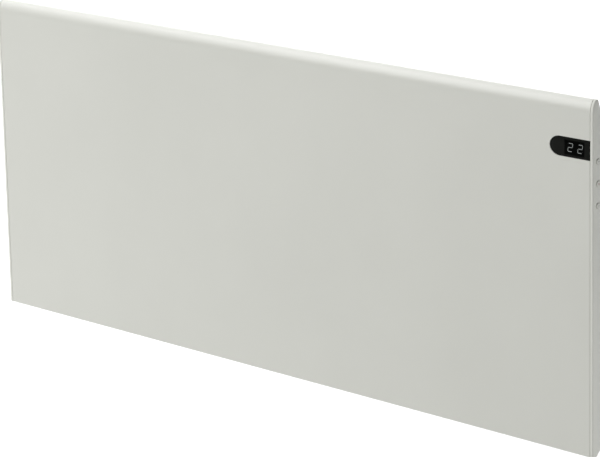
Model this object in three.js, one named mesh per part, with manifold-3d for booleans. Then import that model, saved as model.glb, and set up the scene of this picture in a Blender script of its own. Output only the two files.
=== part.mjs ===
// Wall panel convector heater hung on its steel wall bracket.
// Millimetres, +Z up, +X along the panel, +Y towards the wall. The origin lies on the wall side
// of the bracket, in the middle of its upper rail.
// Inside the heater and bracket groups z is the height above the heater's lower edge, and inside
// the heater group y is the depth behind the front face.

import * as THREE from 'three';
import { mergeVertices } from 'three/addons/utils/BufferGeometryUtils.js';
import Module from 'manifold-3d';

const wasm = await Module();
wasm.setup();

// Overall sizes
const panelWidth = 917;
const panelHeight = 370;
const shellDepth = 14.5; // front panel and end caps, front to back
const panDepth = 42; // pressed rear pan behind the shell
const wallGap = 31; // free air between the pan and the wall
const mountHeight = 270; // middle of the bracket's upper rail above the heater's lower edge

// Sheets and clearances
const steelSheet = 0.8; // front panel, pan and shield
const bracketSheet = 1.5; // wall bracket and hanger plates
const blankCorner = 3; // corners of the flat blanks
const sheetCorner = 4; // and of the large sheets
const fit = 0.3; // clearance between pieces that seat on each other

// Section of the shell, from the side: a rounded front shoulder, a narrow nose, a straight
// flank down to the back, and a chamfer under the back
const shoulderDrop = 10.5; // height of the shoulder's quarter ellipse
const noseDepth = 7; // highest point of the section behind the front
const noseEnd = 9.2; // where the flank starts
const noseDrop = 2.6; // and how far below the top that is
const flankSlope = 2.95; // fall of the flank for each millimetre of depth
const flankBlend = 1.1; // rounding between flank and back
const lowerEdge = 1.5; // rounding of the lower front edge
const lowerFlat = 6.3; // flat underside before the chamfer
const chamferSlope = 1.1;
const chamferBlend = 1.2;
const returnLip = 8; // folded lips that hold the pan's flange

// End caps
const capLip = 3.5; // cap wall outside the sheet
const capEdge = 0.9; // rounded outer edge
const edgeRing = 0.3; // where a rounded edge has its middle ring, as a share of its radius
const spigotLength = 10; // collar inside the sheet
const spigotWall = 1.8;
const tongueLength = 14; // screw tongue beyond the collar
const tongueHeight = 9;
const screwMargin = 1; // screw heads to the folded lips

// Display
const displayLength = 52;
const displayHeight = 19.8;
const displayTip = 13; // length of the rounded left end
const displayDrop = 51.5; // middle of the display below the panel's top
const lensRecess = 0.1;
const lensFace = 1.5; // thickness of the lens in its opening
const lensRim = 2; // rim behind the sheet
const digitHeight = 10.5;
const digitWidth = 6.6;
const digitPitch = 12.6;
const digitStroke = 1.1;
const digitRelief = 0.4;
const digitGap = 0.66; // free space at the ends of a stroke
const moduleWidth = 24;
const moduleHeight = 14;
const moduleInset = 7.2; // right side of the module to the cap's inner face

// Push buttons in the right cap
const buttonCount = 3;
const buttonRadius = 2.9;
const buttonRim = 0.7; // retaining rim wider than the hole
const buttonRimThickness = 1.4;
const buttonProud = 0.8;
const buttonRound = 0.5;
const buttonCrown = 0.075; // rise of the face's middle
const buttonDepth = 8.2; // behind the front face
const buttonPitch = 22.5;
const firstButtonDrop = 11.5; // below the display's middle
const buttonStem = 1.5;
const buttonStemLength = 2.3;
const switchGap = 0.8; // free way of a stem to its switch, over the travel of 0.6
const switchLength = 5;
const switchSize = 6;
const actuatorRadius = 1.3;
const actuatorLength = 1.4;
const actuatorRise = 0.6; // actuator's axis in front of the button's axis
const actuatorRoot = 0.5; // actuator's end inside the switch
const switchFoot = 0.5; // switch body short of its full size, front to back

// Boards
const boardThickness = 1.6;
const insulatorSheet = 0.6;
const controlBoardWidth = 55;
const controlBoardDrop = 10; // lower edge of the board below the last button
const controlBoardRise = 12.5; // upper edge above the display's middle
const boardEdge = 8; // right edge of the control board to the cap's inner face
const postHeight = 7;
const postReach = 19;
const pinRadius = 1.2;
const boardCorner = 2;

// Rear pan
const panSide = 42.5; // shell's end to the pan's side
const panCorner = 12;
const panDraft = 5; // taper of the four walls, front to back
const lipClearance = 2.5; // pan wall to the shell's folded lip
const ventLength = 40;
const ventWidth = 5.5;
const ventPitch = 48;
const ventRows = 3;
const ventRowPitch = 11;
const beadHeight = 1.4;
const beadWidth = 16;
const beadPlaces = [0.46, 0.64]; // shares of the pan's height
const beadMargin = 60; // end of a bead to the bracket's arm

// Heating element
const finsMargin = 64; // pan's left side to the fins
const finsClearance = 52; // fins to the partition
const elementHeight = 112;
const elementDepth = 31;
const finsHalfDepth = 12;
const finsHalfHeight = 24;
const finThickness = 1.9;
const finTipThickness = 1.3;
const hubRadius = 8;
const rodRadius = 5;
const rodOverhang = 30;
const finSlotPitch = 40;
const finSlotWidth = 4;
const finSlotStart = 11; // half height of the uncut middle
const armSteps = 2;
const armRoot = [0.6, 0.7]; // an arm's first point, in shares of the rod's and the hub's radius
const armBow = [0.35, 0.7]; // its bow, in shares of the fins' half depth and half height
const terminalCollar = 4;
const terminalRadius = 1.75;
const terminalLength = 14;
const elementBracketGap = 19; // bracket plate to the fins' end
const elementBracketSheet = 1.2;
const elementBracketFoot = 14;
const elementBracketHeight = 52;
const elementBracketFront = 3; // plate's front edge behind the shell
const bushRadius = 7.5;
const bushFlange = 9.5;
const bushFlangeThickness = 1.6;
const cutoutHeight = 34; // thermal cut-out above the element
const cutoutRadius = 8;
const cutoutLength = 8;
const cutoutShift = 4; // cut-out's axis behind the element's
const cutoutMargin = 4; // bracket's plate round the cut-out
const bladeLength = 8;
const bladeSpread = 4;
const bladeWidth = 4;
const bladeSheet = 0.8;

// Electronics compartment
const compartmentWidth = 116; // partition to the pan's right side
const partitionFoot = 10;
const wireHoleRadius = 6;
const wireHoleMargin = 3; // hole's edge to the partition's foot
const upperHoleDrop = 2; // below the power board
const lowerHoleRise = 25; // above the pan's bottom
const powerBoardRise = 48; // board's lower edge above the terminal block's middle
const powerBoardDrop = 18; // board's upper edge below the pan's top
const powerBoardSide = 14; // partition to the board
const powerBoardClearance = 16; // board to the pan's right side
const trayFloor = 2;
const trayPost = 7.4;
const trayPostRadius = 3.5;
const trayMargin = 2;
const relaySize = [19, 15.5, 15.5];
const relayPlace = [26, 30]; // from the board's left and upper edges
const supplySize = [34, 19, 26];
const supplyPlace = [62, 80];
const capacitorSize = [18, 14, 8];
const capacitorPlace = [24, 84];
const terminalBlockSize = [36, 16, 17];
const terminalBlockRise = 83; // above the pan's bottom
const terminalPoles = 3;
const poleRadius = 1.9;
const sillWidth = 1; // grooves between the poles
const sillDepth = 3;
const earthStudSide = 24; // to the partition
const earthStudRise = 41;
const earthStudRadius = 2;
const earthStudLength = 12;
const earthNutRadius = 4.6;
const earthNutThickness = 3;

// Mains inlet and room sensor
const glandSide = 32; // to the pan's right side
const glandRise = 35; // above the pan's bottom
const glandThread = 8; // outer radius of the threaded barrel
const glandBore = 4;
const glandHead = 12;
const glandHeadLength = 6;
const glandShoulder = 3.6; // where the head starts to narrow
const glandCollar = 3; // wall round the bore at the head's end
const glandBarrel = 12;
const glandNutWidth = 11;
const glandNutThickness = 5;
const sensorSide = 52; // to the partition
const sensorRadius = 3;
const sensorLength = 22;
const sensorDepth = 30;
const clipWall = 1.6;
const clipFoot = 1; // clip's floor below its wall
const clipMouth = 4.2; // opening at the top of the clip
const clipLength = 10;

// Leads
const leadRadius = 1.3;
const sensorLeadRadius = 0.9;
const leadSides = 6;
const ribbonWidth = 14;
const ribbonThickness = 1;

// Casing screws
const screwRadius = 1.45;
const screwHead = 3;
const screwHeadThickness = 1.9;
const screwLength = 8;

// Wall bracket
const armClearance = 23; // hanger plate to the element's bracket
const armWidth = 28;
const armRise = 36; // arm's top above the upper rail's middle
const armBottom = 48;
const hookSeat = 82; // height where the pan hangs
const hookSlotHeight = 30;
const hookSlotWidth = 3.5;
const hookPlateBottom = 66;
const hookPlateSlope = 10; // lower corner by the wall below the one in front
const hookReach = 12; // hook in front of the pan's back wall
const hookRise = 10;
const hookTip = 4;
const hangerHeight = 54;
const hangerWidth = 40;
const hangerDrop = 36; // hanger plate below the hook's seat
const earGap = 1.5; // pan to the bracket's ears
const earHeight = 30;
const railHeight = 26;
const railLip = 8;
const lowerRailHeight = 80;
const wallScrewRadius = 2.6;
const wallScrewSpread = 80;

// Quarter-turn catches
const catchDrop = 15; // below the arm's top
const catchShank = 2.5;
const catchHeadLength = 15;
const catchHeadWidth = 5.5;
const catchHeadThickness = 3;
const catchHeadGap = 2.5; // head to the pan's inner face
const catchSlotMargin = 1;
const leverLength = 30;
const leverWidth = 9;
const leverThickness = 3;
const leverHub = 6;
const tabHeight = 9; // finger tab at the lever's end
const tabMargin = 1;
const rivetHead = 4;
const rivetHeadThickness = 1.2;

// Derived places, in the heater's depth and height
const halfWidth = panelWidth / 2;
const capInner = halfWidth - capLip;
const sheetEnd = capInner - fit;
const spigotStart = capInner - spigotLength - fit;
const flangeEnd = spigotStart - fit;
const flangeBack = shellDepth - steelSheet - fit;
const flangeFront = flangeBack - steelSheet;
const panBack = shellDepth + panDepth;
const panInner = panBack - steelSheet;
const wallDepth = panBack + wallGap;
const flankEnd = shellDepth - flankBlend;
const flankEndDrop = noseDrop + (flankEnd - noseEnd) * flankSlope;
const flankFoot = panelHeight - flankEndDrop - 2 * flankBlend * flankSlope;
const chamferLine = (depth) => (depth - lowerFlat) * chamferSlope;
const chamferTop = chamferLine(shellDepth + chamferBlend);
const panTop = flankFoot - returnLip - lipClearance;
const panBottom = chamferTop + returnLip + lipClearance;
const panHalf = halfWidth - panSide;
const displayMiddle = panelHeight - displayDrop;
const boardBack = flangeFront - 2 * fit - insulatorSheet;
const boardFront = boardBack - boardThickness;
const controlBoardRight = capInner - boardEdge;
const controlBoardLeft = controlBoardRight - controlBoardWidth;
const controlBoardTop = displayMiddle + controlBoardRise;
const buttonHeights = Array.from({ length: buttonCount },
  (_, i) => displayMiddle - firstButtonDrop - i * buttonPitch);
const controlBoardBottom = buttonHeights[buttonCount - 1] - controlBoardDrop;
const lensBack = steelSheet + fit + lensFace;
const partitionOffset = panHalf - compartmentWidth;
const finsLength = partitionOffset - finsClearance + panHalf - finsMargin;
const finsOffset = finsLength / 2 + finsMargin - panHalf;
const armOffset = elementBracketMiddle(1) - elementBracketFoot - armClearance - hangerWidth / 2;
const armTop = mountHeight + armRise;
const catchHeight = armTop - catchDrop;
const catchOffset = armOffset + armWidth / 2;
const beadLength = 2 * (armOffset - beadMargin);
const powerBoardWidth = compartmentWidth - powerBoardSide - powerBoardClearance;
const terminalBlockPlace = [panHalf - compartmentWidth / 2, panBottom + terminalBlockRise];
const powerBoardBottom = terminalBlockPlace[1] + powerBoardRise;
const powerBoardTop = panTop - powerBoardDrop;
const upperWireHole = powerBoardBottom - upperHoleDrop;
const lowerWireHole = panBottom + lowerHoleRise;
const earthStudPlace = [partitionOffset + earthStudSide, panBottom + earthStudRise];
const glandPlace = [panHalf - glandSide, panBottom + glandRise];
const sensorOffset = partitionOffset + sensorSide;
const earFront = panBack + earGap;
const earBack = earFront + bracketSheet;
const webFront = wallDepth - bracketSheet;

const xAxis = new THREE.Vector3(1, 0, 0);
const yAxis = new THREE.Vector3(0, 1, 0);
const zAxis = new THREE.Vector3(0, 0, 1);
const curveSteps = 4;
const roundSteps = 7;
const holeSteps = 5;
const slotSteps = 3;
const cutPast = 1; // how far a cutting tool runs past what it cuts

// Finishes
const finishes = {
  paint: { color: 0xd6d7cf, roughness: 0.5, metalness: 0 },
  capPlastic: { color: 0xc9cac2, roughness: 0.45, metalness: 0 },
  lens: { color: 0x1e1e1c, roughness: 0.12, metalness: 0 },
  ledFace: { color: 0x3a3b3b, roughness: 0.5, metalness: 0 },
  zinc: { color: 0xb9bcbd, roughness: 0.4, metalness: 0.9 },
  aluminium: { color: 0xc8cacc, roughness: 0.35, metalness: 1 },
  steelRod: { color: 0x8e8c88, roughness: 0.4, metalness: 1 },
  ceramic: { color: 0xe9e4d8, roughness: 0.6, metalness: 0 },
  phenolic: { color: 0x2a2422, roughness: 0.5, metalness: 0 },
  nylon: { color: 0x232425, roughness: 0.5, metalness: 0 },
  clearNylon: { color: 0xdfddd2, roughness: 0.5, metalness: 0 },
  board: { color: 0x1f5a3c, roughness: 0.45, metalness: 0 },
  fibre: { color: 0x8f9a8a, roughness: 0.8, metalness: 0 },
  relay: { color: 0x23324a, roughness: 0.4, metalness: 0 },
  capacitor: { color: 0xd8c23a, roughness: 0.4, metalness: 0 },
  brass: { color: 0xb89b4e, roughness: 0.35, metalness: 1 },
  brownLead: { color: 0x5a3a24, roughness: 0.55, metalness: 0 },
  blueLead: { color: 0x2d56a0, roughness: 0.55, metalness: 0 },
  earthLead: { color: 0x8aa02e, roughness: 0.55, metalness: 0 },
  blackLead: { color: 0x1b1b1b, roughness: 0.55, metalness: 0 },
  greyLead: { color: 0x9a9a98, roughness: 0.6, metalness: 0 },
};

function part(name, geometry, finish) {
  geometry.computeVertexNormals();
  const mesh = new THREE.Mesh(geometry, new THREE.MeshStandardMaterial(finishes[finish]));
  mesh.name = name;
  return mesh;
}

// Outlines: plain lists of points, counter-clockwise

function rectangle(left, right, low, high) {
  return [
    new THREE.Vector2(left, low),
    new THREE.Vector2(right, low),
    new THREE.Vector2(right, high),
    new THREE.Vector2(left, high),
  ];
}

function roundedRectangle(left, right, low, high, radius, steps = 1) {
  const path = new THREE.Path();
  path.absarc(right - radius, low + radius, radius, -Math.PI / 2, 0, false);
  path.absarc(right - radius, high - radius, radius, 0, Math.PI / 2, false);
  path.absarc(left + radius, high - radius, radius, Math.PI / 2, Math.PI, false);
  path.absarc(left + radius, low + radius, radius, Math.PI, 1.5 * Math.PI, false);
  return openLoop(path.getPoints(steps));
}

function circle(x, y, radius, steps = roundSteps) {
  const path = new THREE.Path();
  path.absarc(x, y, radius, 0, 2 * Math.PI, false);
  return openLoop(path.getPoints(steps));
}

// A slot with round ends, lying along the first axis.
function slot(x, y, length, width, steps = 1) {
  const half = (length - width) / 2;
  const path = new THREE.Path();
  path.absarc(x + half, y, width / 2, -Math.PI / 2, Math.PI / 2, false);
  path.absarc(x - half, y, width / 2, Math.PI / 2, 1.5 * Math.PI, false);
  return openLoop(path.getPoints(steps));
}

function openLoop(points) {
  const last = points[points.length - 1];
  return last.distanceTo(points[0]) < 1e-6 ? points.slice(0, -1) : points;
}

// Moves every corner of an outline inwards by the same wall.
function inset(points, distance, closed = true) {
  const count = points.length;
  const side = (from, to) => {
    const step = to.clone().sub(from).normalize();
    return new THREE.Vector2(-step.y, step.x);
  };
  return points.map((point, i) => {
    const before = closed || i > 0 ? side(points[(i + count - 1) % count], point) : null;
    const after = closed || i < count - 1 ? side(point, points[(i + 1) % count]) : null;
    const first = before ?? after;
    const second = after ?? before;
    const miter = first.clone().add(second).multiplyScalar(distance / (1 + first.dot(second)));
    return point.clone().add(miter);
  });
}

// Solids from outlines

function extruded(outline, from, to, hole = null) {
  const shape = new THREE.Shape(outline);
  if (hole) {
    shape.holes.push(new THREE.Path(hole));
  }
  const geometry = new THREE.ExtrudeGeometry(shape, { depth: to - from, bevelEnabled: false });
  return geometry.translate(0, 0, from);
}

// Turns a solid drawn in (y, z) to run along x, and one drawn in (x, z) to run along -y.
const standAlongX = new THREE.Matrix4().makeBasis(yAxis, zAxis, xAxis);
const standAlongY = new THREE.Matrix4().makeBasis(xAxis, zAxis, yAxis.clone().negate());

function alongX(outline, from, to, hole) {
  return extruded(outline, from, to, hole).applyMatrix4(standAlongX);
}

function alongY(outline, from, to, hole) {
  return extruded(outline, -to, -from, hole).applyMatrix4(standAlongY);
}

function alongZ(outline, from, to, hole) {
  return extruded(outline, from, to, hole);
}

function box(x, y, z) {
  const size = [x[1] - x[0], y[1] - y[0], z[1] - z[0]];
  const geometry = new THREE.BoxGeometry(...size);
  return geometry.translate((x[0] + x[1]) / 2, (y[0] + y[1]) / 2, (z[0] + z[1]) / 2);
}

// Skins a row of sections, each an outline at its own height, and closes both ends.
function loft(sections) {
  const count = sections[0].outline.length;
  const positions = [];
  const index = [];
  sections.forEach(({ at, outline }) => {
    outline.forEach((point) => positions.push(point.x, point.y, at));
  });
  for (let ring = 0; ring < sections.length - 1; ring += 1) {
    for (let i = 0; i < count; i += 1) {
      const next = (i + 1) % count;
      const [a, b] = [ring * count + i, ring * count + next];
      index.push(a, b, b + count, a, b + count, a + count);
    }
  }
  [0, sections.length - 1].forEach((ring) => {
    const { at, outline } = sections[ring];
    const middle = outline.reduce((sum, point) => sum.add(point), new THREE.Vector2());
    middle.divideScalar(count);
    const centre = positions.length / 3;
    positions.push(middle.x, middle.y, at);
    for (let i = 0; i < count; i += 1) {
      const [a, b] = [ring * count + i, ring * count + ((i + 1) % count)];
      index.push(centre, ring ? a : b, ring ? b : a);
    }
  });
  const geometry = new THREE.BufferGeometry();
  geometry.setAttribute('position', new THREE.Float32BufferAttribute(positions, 3));
  geometry.setIndex(index);
  return geometry;
}

// A turned piece: pairs of radius and height, from the axis back to the axis.
function turned(profile, segments = 16) {
  const points = profile.map(([radius, height]) => new THREE.Vector2(radius, height));
  return new THREE.LatheGeometry(points, segments);
}

function turnedAlongX(profile, y, z, segments) {
  return turned(profile, segments).rotateZ(-Math.PI / 2).translate(0, y, z);
}

function turnedAlongY(profile, x, z, segments) {
  return turned(profile, segments).translate(x, 0, z);
}

// The same piece on the other side of the panel's middle.
function mirrored(geometry) {
  const copy = geometry.index ? geometry.toNonIndexed() : geometry.clone();
  const { position } = copy.attributes;
  for (let i = 0; i < position.count; i += 3) {
    const second = new THREE.Vector3().fromBufferAttribute(position, i + 1);
    const third = new THREE.Vector3().fromBufferAttribute(position, i + 2);
    position.setXYZ(i, -position.getX(i), position.getY(i), position.getZ(i));
    position.setXYZ(i + 1, -third.x, third.y, third.z);
    position.setXYZ(i + 2, -second.x, second.y, second.z);
  }
  return copy;
}

function sided(geometry, side) {
  return side < 0 ? mirrored(geometry) : geometry;
}

// Joins and cuts

function toSolid(geometry) {
  const bare = new THREE.BufferGeometry();
  bare.setAttribute('position', geometry.attributes.position.clone());
  if (geometry.index) {
    bare.setIndex(geometry.index.clone());
  }
  const merged = mergeVertices(bare, 1e-4);
  return new wasm.Manifold(new wasm.Mesh({
    numProp: 3,
    vertProperties: new Float32Array(merged.attributes.position.array),
    triVerts: new Uint32Array(merged.index.array),
  }));
}

function toGeometry(solid) {
  const mesh = solid.getMesh();
  const geometry = new THREE.BufferGeometry();
  geometry.setAttribute('position', new THREE.BufferAttribute(mesh.vertProperties, 3));
  geometry.setIndex(new THREE.BufferAttribute(mesh.triVerts, 1));
  return geometry;
}

// The first list is joined into one solid, then the second is cut out of it.
function carve(added, removed = []) {
  let solid = added.map(toSolid).reduce((sum, next) => sum.add(next));
  removed.map(toSolid).forEach((tool) => {
    solid = solid.subtract(tool);
  });
  return toGeometry(solid);
}

// Front panel and end caps

// The shell's section from the back of the flank, over the nose and the front, to the back of
// the lower chamfer.
function shellSection() {
  const curve = new THREE.Path();
  const blendRise = flankBlend * flankSlope;
  curve.moveTo(shellDepth, flankFoot);
  curve.quadraticCurveTo(shellDepth, flankFoot + blendRise, flankEnd, panelHeight - flankEndDrop);
  curve.lineTo(noseEnd, panelHeight - noseDrop);
  curve.quadraticCurveTo(noseEnd - noseDrop / flankSlope, panelHeight, noseDepth, panelHeight);
  curve.absellipse(noseDepth, panelHeight - shoulderDrop, noseDepth, shoulderDrop,
    Math.PI / 2, Math.PI, false);
  curve.lineTo(0, lowerEdge);
  curve.quadraticCurveTo(0, 0, lowerEdge, 0);
  curve.lineTo(lowerFlat - chamferBlend, 0);
  curve.quadraticCurveTo(lowerFlat, 0, lowerFlat + chamferBlend,
    chamferLine(lowerFlat + chamferBlend));
  curve.lineTo(shellDepth - chamferBlend, chamferLine(shellDepth - chamferBlend));
  curve.quadraticCurveTo(shellDepth, chamferLine(shellDepth), shellDepth, chamferTop);
  return curve.getPoints(curveSteps);
}

// The display's outline, grown by a margin: straight on the right, rounded on the left.
function displayOutline(margin, rightEnd) {
  const half = displayHeight / 2 + margin;
  const tipStart = sheetEnd - displayLength + displayTip;
  const path = new THREE.Path();
  path.moveTo(rightEnd, displayMiddle - half);
  path.lineTo(rightEnd, displayMiddle + half);
  path.lineTo(tipStart, displayMiddle + half);
  path.absellipse(tipStart, displayMiddle, displayTip + margin, half,
    Math.PI / 2, 1.5 * Math.PI, false);
  return path.getPoints(5);
}

function frontPanel() {
  const section = [
    new THREE.Vector2(shellDepth, flankFoot - returnLip),
    ...shellSection(),
    new THREE.Vector2(shellDepth, chamferTop + returnLip),
  ];
  const strip = section.concat(inset(section, steelSheet, false).reverse());
  const opening = displayOutline(fit, sheetEnd + cutPast);
  return carve(
    [alongX(strip, -sheetEnd, sheetEnd)],
    [alongY(opening, -cutPast, steelSheet + cutPast)],
  );
}

// One end cap without what only the right one has: wall, collar and two screw tongues.
function plainCap() {
  const section = shellSection();
  const wall = loft([
    { at: capInner, outline: section },
    { at: halfWidth - capEdge, outline: section },
    { at: halfWidth - capEdge * edgeRing, outline: inset(section, capEdge * edgeRing) },
    { at: halfWidth, outline: inset(section, capEdge) },
  ]).applyMatrix4(standAlongX);
  const collarOutside = inset(section, steelSheet + fit);
  const collarInside = inset(section, steelSheet + fit + spigotWall);
  const collar = alongX(collarOutside, spigotStart, capInner + cutPast, collarInside);
  const tongues = capScrewHeights().map((height) => box(
    [spigotStart - tongueLength, capInner + cutPast],
    [steelSheet + 4 * fit, flangeFront - fit],
    [height - tongueHeight / 2, height + tongueHeight / 2],
  ));
  const pilots = capScrewHeights().map((height) => alongY(
    circle(capScrewOffset(), height, screwRadius + fit, holeSteps),
    flangeFront - screwLength, flangeFront,
  ));
  return carve([wall, collar, ...tongues], pilots);
}

function capScrewHeights() {
  const inside = returnLip + screwHead + screwMargin;
  return [chamferTop + inside, flankFoot - inside];
}

function capScrewOffset() {
  return spigotStart - tongueLength / 2 - fit;
}

function boardPostHeights() {
  return buttonHeights.slice(1).map((height) => height + buttonPitch / 2);
}

function boardPinOffset() {
  return capInner - postReach + postHeight / 2;
}

function rightCap() {
  const posts = boardPostHeights().map((height) => box(
    [capInner - postReach, capInner + cutPast],
    [steelSheet + 4 * fit, boardFront - fit],
    [height - postHeight / 2, height + postHeight / 2],
  ));
  const pins = boardPostHeights().map((height) => alongY(
    circle(boardPinOffset(), height, pinRadius, 4), boardFront - fit - cutPast, boardBack,
  ));
  const lensHalf = displayHeight / 2 + lensRim + fit;
  const lensNotch = box([spigotStart - cutPast, capInner], [0, lensBack + 2 * fit],
    [displayMiddle - lensHalf, displayMiddle + lensHalf]);
  const buttonHoles = buttonHeights.map((height) => alongX(
    circle(buttonDepth, height, buttonRadius + fit), capInner - cutPast, halfWidth + cutPast,
  ));
  const rimPockets = buttonHeights.map((height) => alongX(
    circle(buttonDepth, height, buttonRadius + buttonRim + fit), spigotStart - cutPast, capInner,
  ));
  return carve([plainCap(), ...posts, ...pins], [lensNotch, ...buttonHoles, ...rimPockets]);
}

// Display, buttons and control board

function displayLens() {
  return carve([
    alongY(displayOutline(0, sheetEnd), lensRecess, steelSheet + fit + lensRecess),
    alongY(displayOutline(lensRim, sheetEnd), steelSheet + fit, lensBack),
  ]);
}

// The seven strokes of one digit, as rectangles about the digit's middle.
function digitStrokes(x, z) {
  const [halfW, halfH] = [digitWidth / 2, digitHeight / 2];
  const level = (height) => rectangle(x - halfW + digitGap, x + halfW - digitGap,
    z + height - digitStroke / 2, z + height + digitStroke / 2);
  const upright = (side, from, to) => rectangle(x + side * halfW - digitStroke / 2,
    x + side * halfW + digitStroke / 2, z + from + digitGap, z + to - digitGap);
  return [
    level(halfH), level(0), level(-halfH),
    upright(-1, 0, halfH), upright(1, 0, halfH), upright(-1, -halfH, 0), upright(1, -halfH, 0),
  ];
}

function digitModule() {
  const right = capInner - moduleInset;
  const front = lensBack + fit;
  const middle = right - moduleWidth / 2;
  const body = box([right - moduleWidth, right], [front, boardFront - fit],
    [displayMiddle - moduleHeight / 2, displayMiddle + moduleHeight / 2]);
  const strokes = [-1, 1].flatMap((side) => digitStrokes(middle + side * digitPitch / 2,
    displayMiddle));
  return carve([body], strokes.map((stroke) => alongY(stroke, front - 1, front + digitRelief)));
}

function pushButton(height) {
  const rimBack = capInner - fit - buttonRimThickness;
  const face = halfWidth + buttonProud;
  return turnedAlongX([
    [0, rimBack - buttonStemLength],
    [buttonStem, rimBack - buttonStemLength],
    [buttonStem, rimBack],
    [buttonRadius + buttonRim, rimBack],
    [buttonRadius + buttonRim, capInner - fit],
    [buttonRadius, capInner - fit],
    [buttonRadius, face - buttonRound],
    [buttonRadius - edgeRing * buttonRound, face - edgeRing * buttonRound],
    [buttonRadius - buttonRound, face],
    [0, face + buttonCrown],
  ], buttonDepth, height, 16);
}

function tactSwitch(height) {
  const tip = capInner - fit - buttonRimThickness - buttonStemLength - switchGap;
  const front = tip - actuatorLength;
  const half = switchSize / 2;
  return carve([
    box([front - switchLength, front],
      [boardFront - fit - switchSize + switchFoot, boardFront - fit],
      [height - half, height + half]),
    alongX(circle(buttonDepth - actuatorRise, height, actuatorRadius, holeSteps),
      front - actuatorRoot, tip),
  ]);
}

function controlBoard() {
  const outline = roundedRectangle(controlBoardLeft, controlBoardRight,
    controlBoardBottom, controlBoardTop, boardCorner);
  const holes = boardPostHeights().map((height) => alongY(
    circle(boardPinOffset(), height, pinRadius + fit, 4),
    boardFront - cutPast, boardBack + cutPast,
  ));
  return carve([alongY(outline, boardFront, boardBack)], holes);
}

function boardInsulator() {
  const outline = rectangle(panHalf + fit, Math.min(flangeEnd, controlBoardRight) - fit,
    controlBoardBottom, controlBoardTop);
  return alongY(outline, boardBack + fit, flangeFront - fit);
}

// Rear pan

function panSection(at, shrink) {
  const taper = (panDraft * (at - flangeFront)) / (panBack - flangeFront) + shrink;
  return {
    at: -at,
    outline: roundedRectangle(-panHalf + taper, panHalf - taper,
      panBottom + taper, panTop - taper, panCorner - shrink, 2),
  };
}

function ventColumns() {
  const [left, right] = [-panHalf + panDraft + panCorner, partitionOffset - panCorner];
  const count = Math.floor((right - left - ventLength) / ventPitch) + 1;
  const first = (left + right - (count - 1) * ventPitch) / 2;
  return Array.from({ length: count }, (_, i) => first + i * ventPitch);
}

// Rows of long slots cut through the top or the bottom wall.
function ventSlots(low, high) {
  const middle = (shellDepth + panInner) / 2;
  const rows = Array.from({ length: ventRows },
    (_, row) => middle + (row - (ventRows - 1) / 2) * ventRowPitch);
  return rows.flatMap((depth) => ventColumns().map((x) => alongZ(
    slot(x, depth, ventLength, ventWidth), low, high,
  )));
}

function beads(from, to, shrink) {
  const heights = beadPlaces.map((share) => panBottom + share * (panTop - panBottom));
  return heights.map((height) => alongY(
    slot(0, height, beadLength - 2 * shrink, beadWidth - 2 * shrink, slotSteps), from, to,
  ));
}

function hookSlot(side, depthFrom, depthTo) {
  const x = side * armOffset;
  return box([x - hookSlotWidth / 2, x + hookSlotWidth / 2], [depthFrom, depthTo],
    [hookSeat - hookSlotHeight, hookSeat + fit]);
}

function rearPan() {
  const outside = loft([panSection(panBack, 0), panSection(flangeFront, 0)]);
  const inside = loft([panSection(panInner, steelSheet),
    panSection(flangeFront - cutPast, steelSheet)]);
  const flange = roundedRectangle(-flangeEnd, flangeEnd, chamferTop + fit, flankFoot - fit,
    sheetCorner);
  const catchLength = catchHeadLength + 2 * catchSlotMargin;
  const catchWidth = catchHeadWidth + 2 * catchSlotMargin;
  const perSide = [-1, 1].flatMap((side) => [
    hookSlot(side, panInner - cutPast, panBack + cutPast),
    alongY(slot(side * catchOffset, catchHeight, catchLength, catchWidth, slotSteps),
      panInner - cutPast, panBack + cutPast),
    ...capScrewHeights().map((height) => alongY(
      circle(side * capScrewOffset(), height, screwRadius + fit, holeSteps),
      flangeFront - cutPast, flangeBack + cutPast,
    )),
  ]);
  const wallStep = panDraft + cutPast;
  return carve([
    outside.applyMatrix4(standAlongY),
    alongY(flange, flangeFront, flangeBack),
    ...beads(panInner, panBack + beadHeight, 0),
  ], [
    inside.applyMatrix4(standAlongY),
    ...beads(panInner - cutPast, panInner + beadHeight, steelSheet),
    ...ventSlots(panTop - wallStep - steelSheet, panTop + cutPast),
    ...ventSlots(panBottom - cutPast, panBottom + wallStep + steelSheet),
    alongY(circle(...glandPlace, glandThread + fit), panInner - cutPast, panBack + cutPast),
    ...perSide,
  ]);
}

// Doubling plate welded inside the pan where it hangs on the hook.
function hangerPlate(side) {
  const x = side * armOffset;
  const plate = roundedRectangle(x - hangerWidth / 2, x + hangerWidth / 2,
    hookSeat - hangerDrop, hookSeat - hangerDrop + hangerHeight, sheetCorner);
  const back = panInner - fit;
  return carve([alongY(plate, back - bracketSheet, back)],
    [hookSlot(side, back - bracketSheet - cutPast, back + cutPast)]);
}

function heatShield() {
  const overlap = lipClearance + returnLip / 2;
  const outline = roundedRectangle(-panHalf - overlap, partitionOffset - 2 * fit,
    panBottom - overlap, panTop + overlap, sheetCorner);
  return alongY(outline, flangeFront - fit - steelSheet, flangeFront - fit);
}

// Heating element

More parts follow.
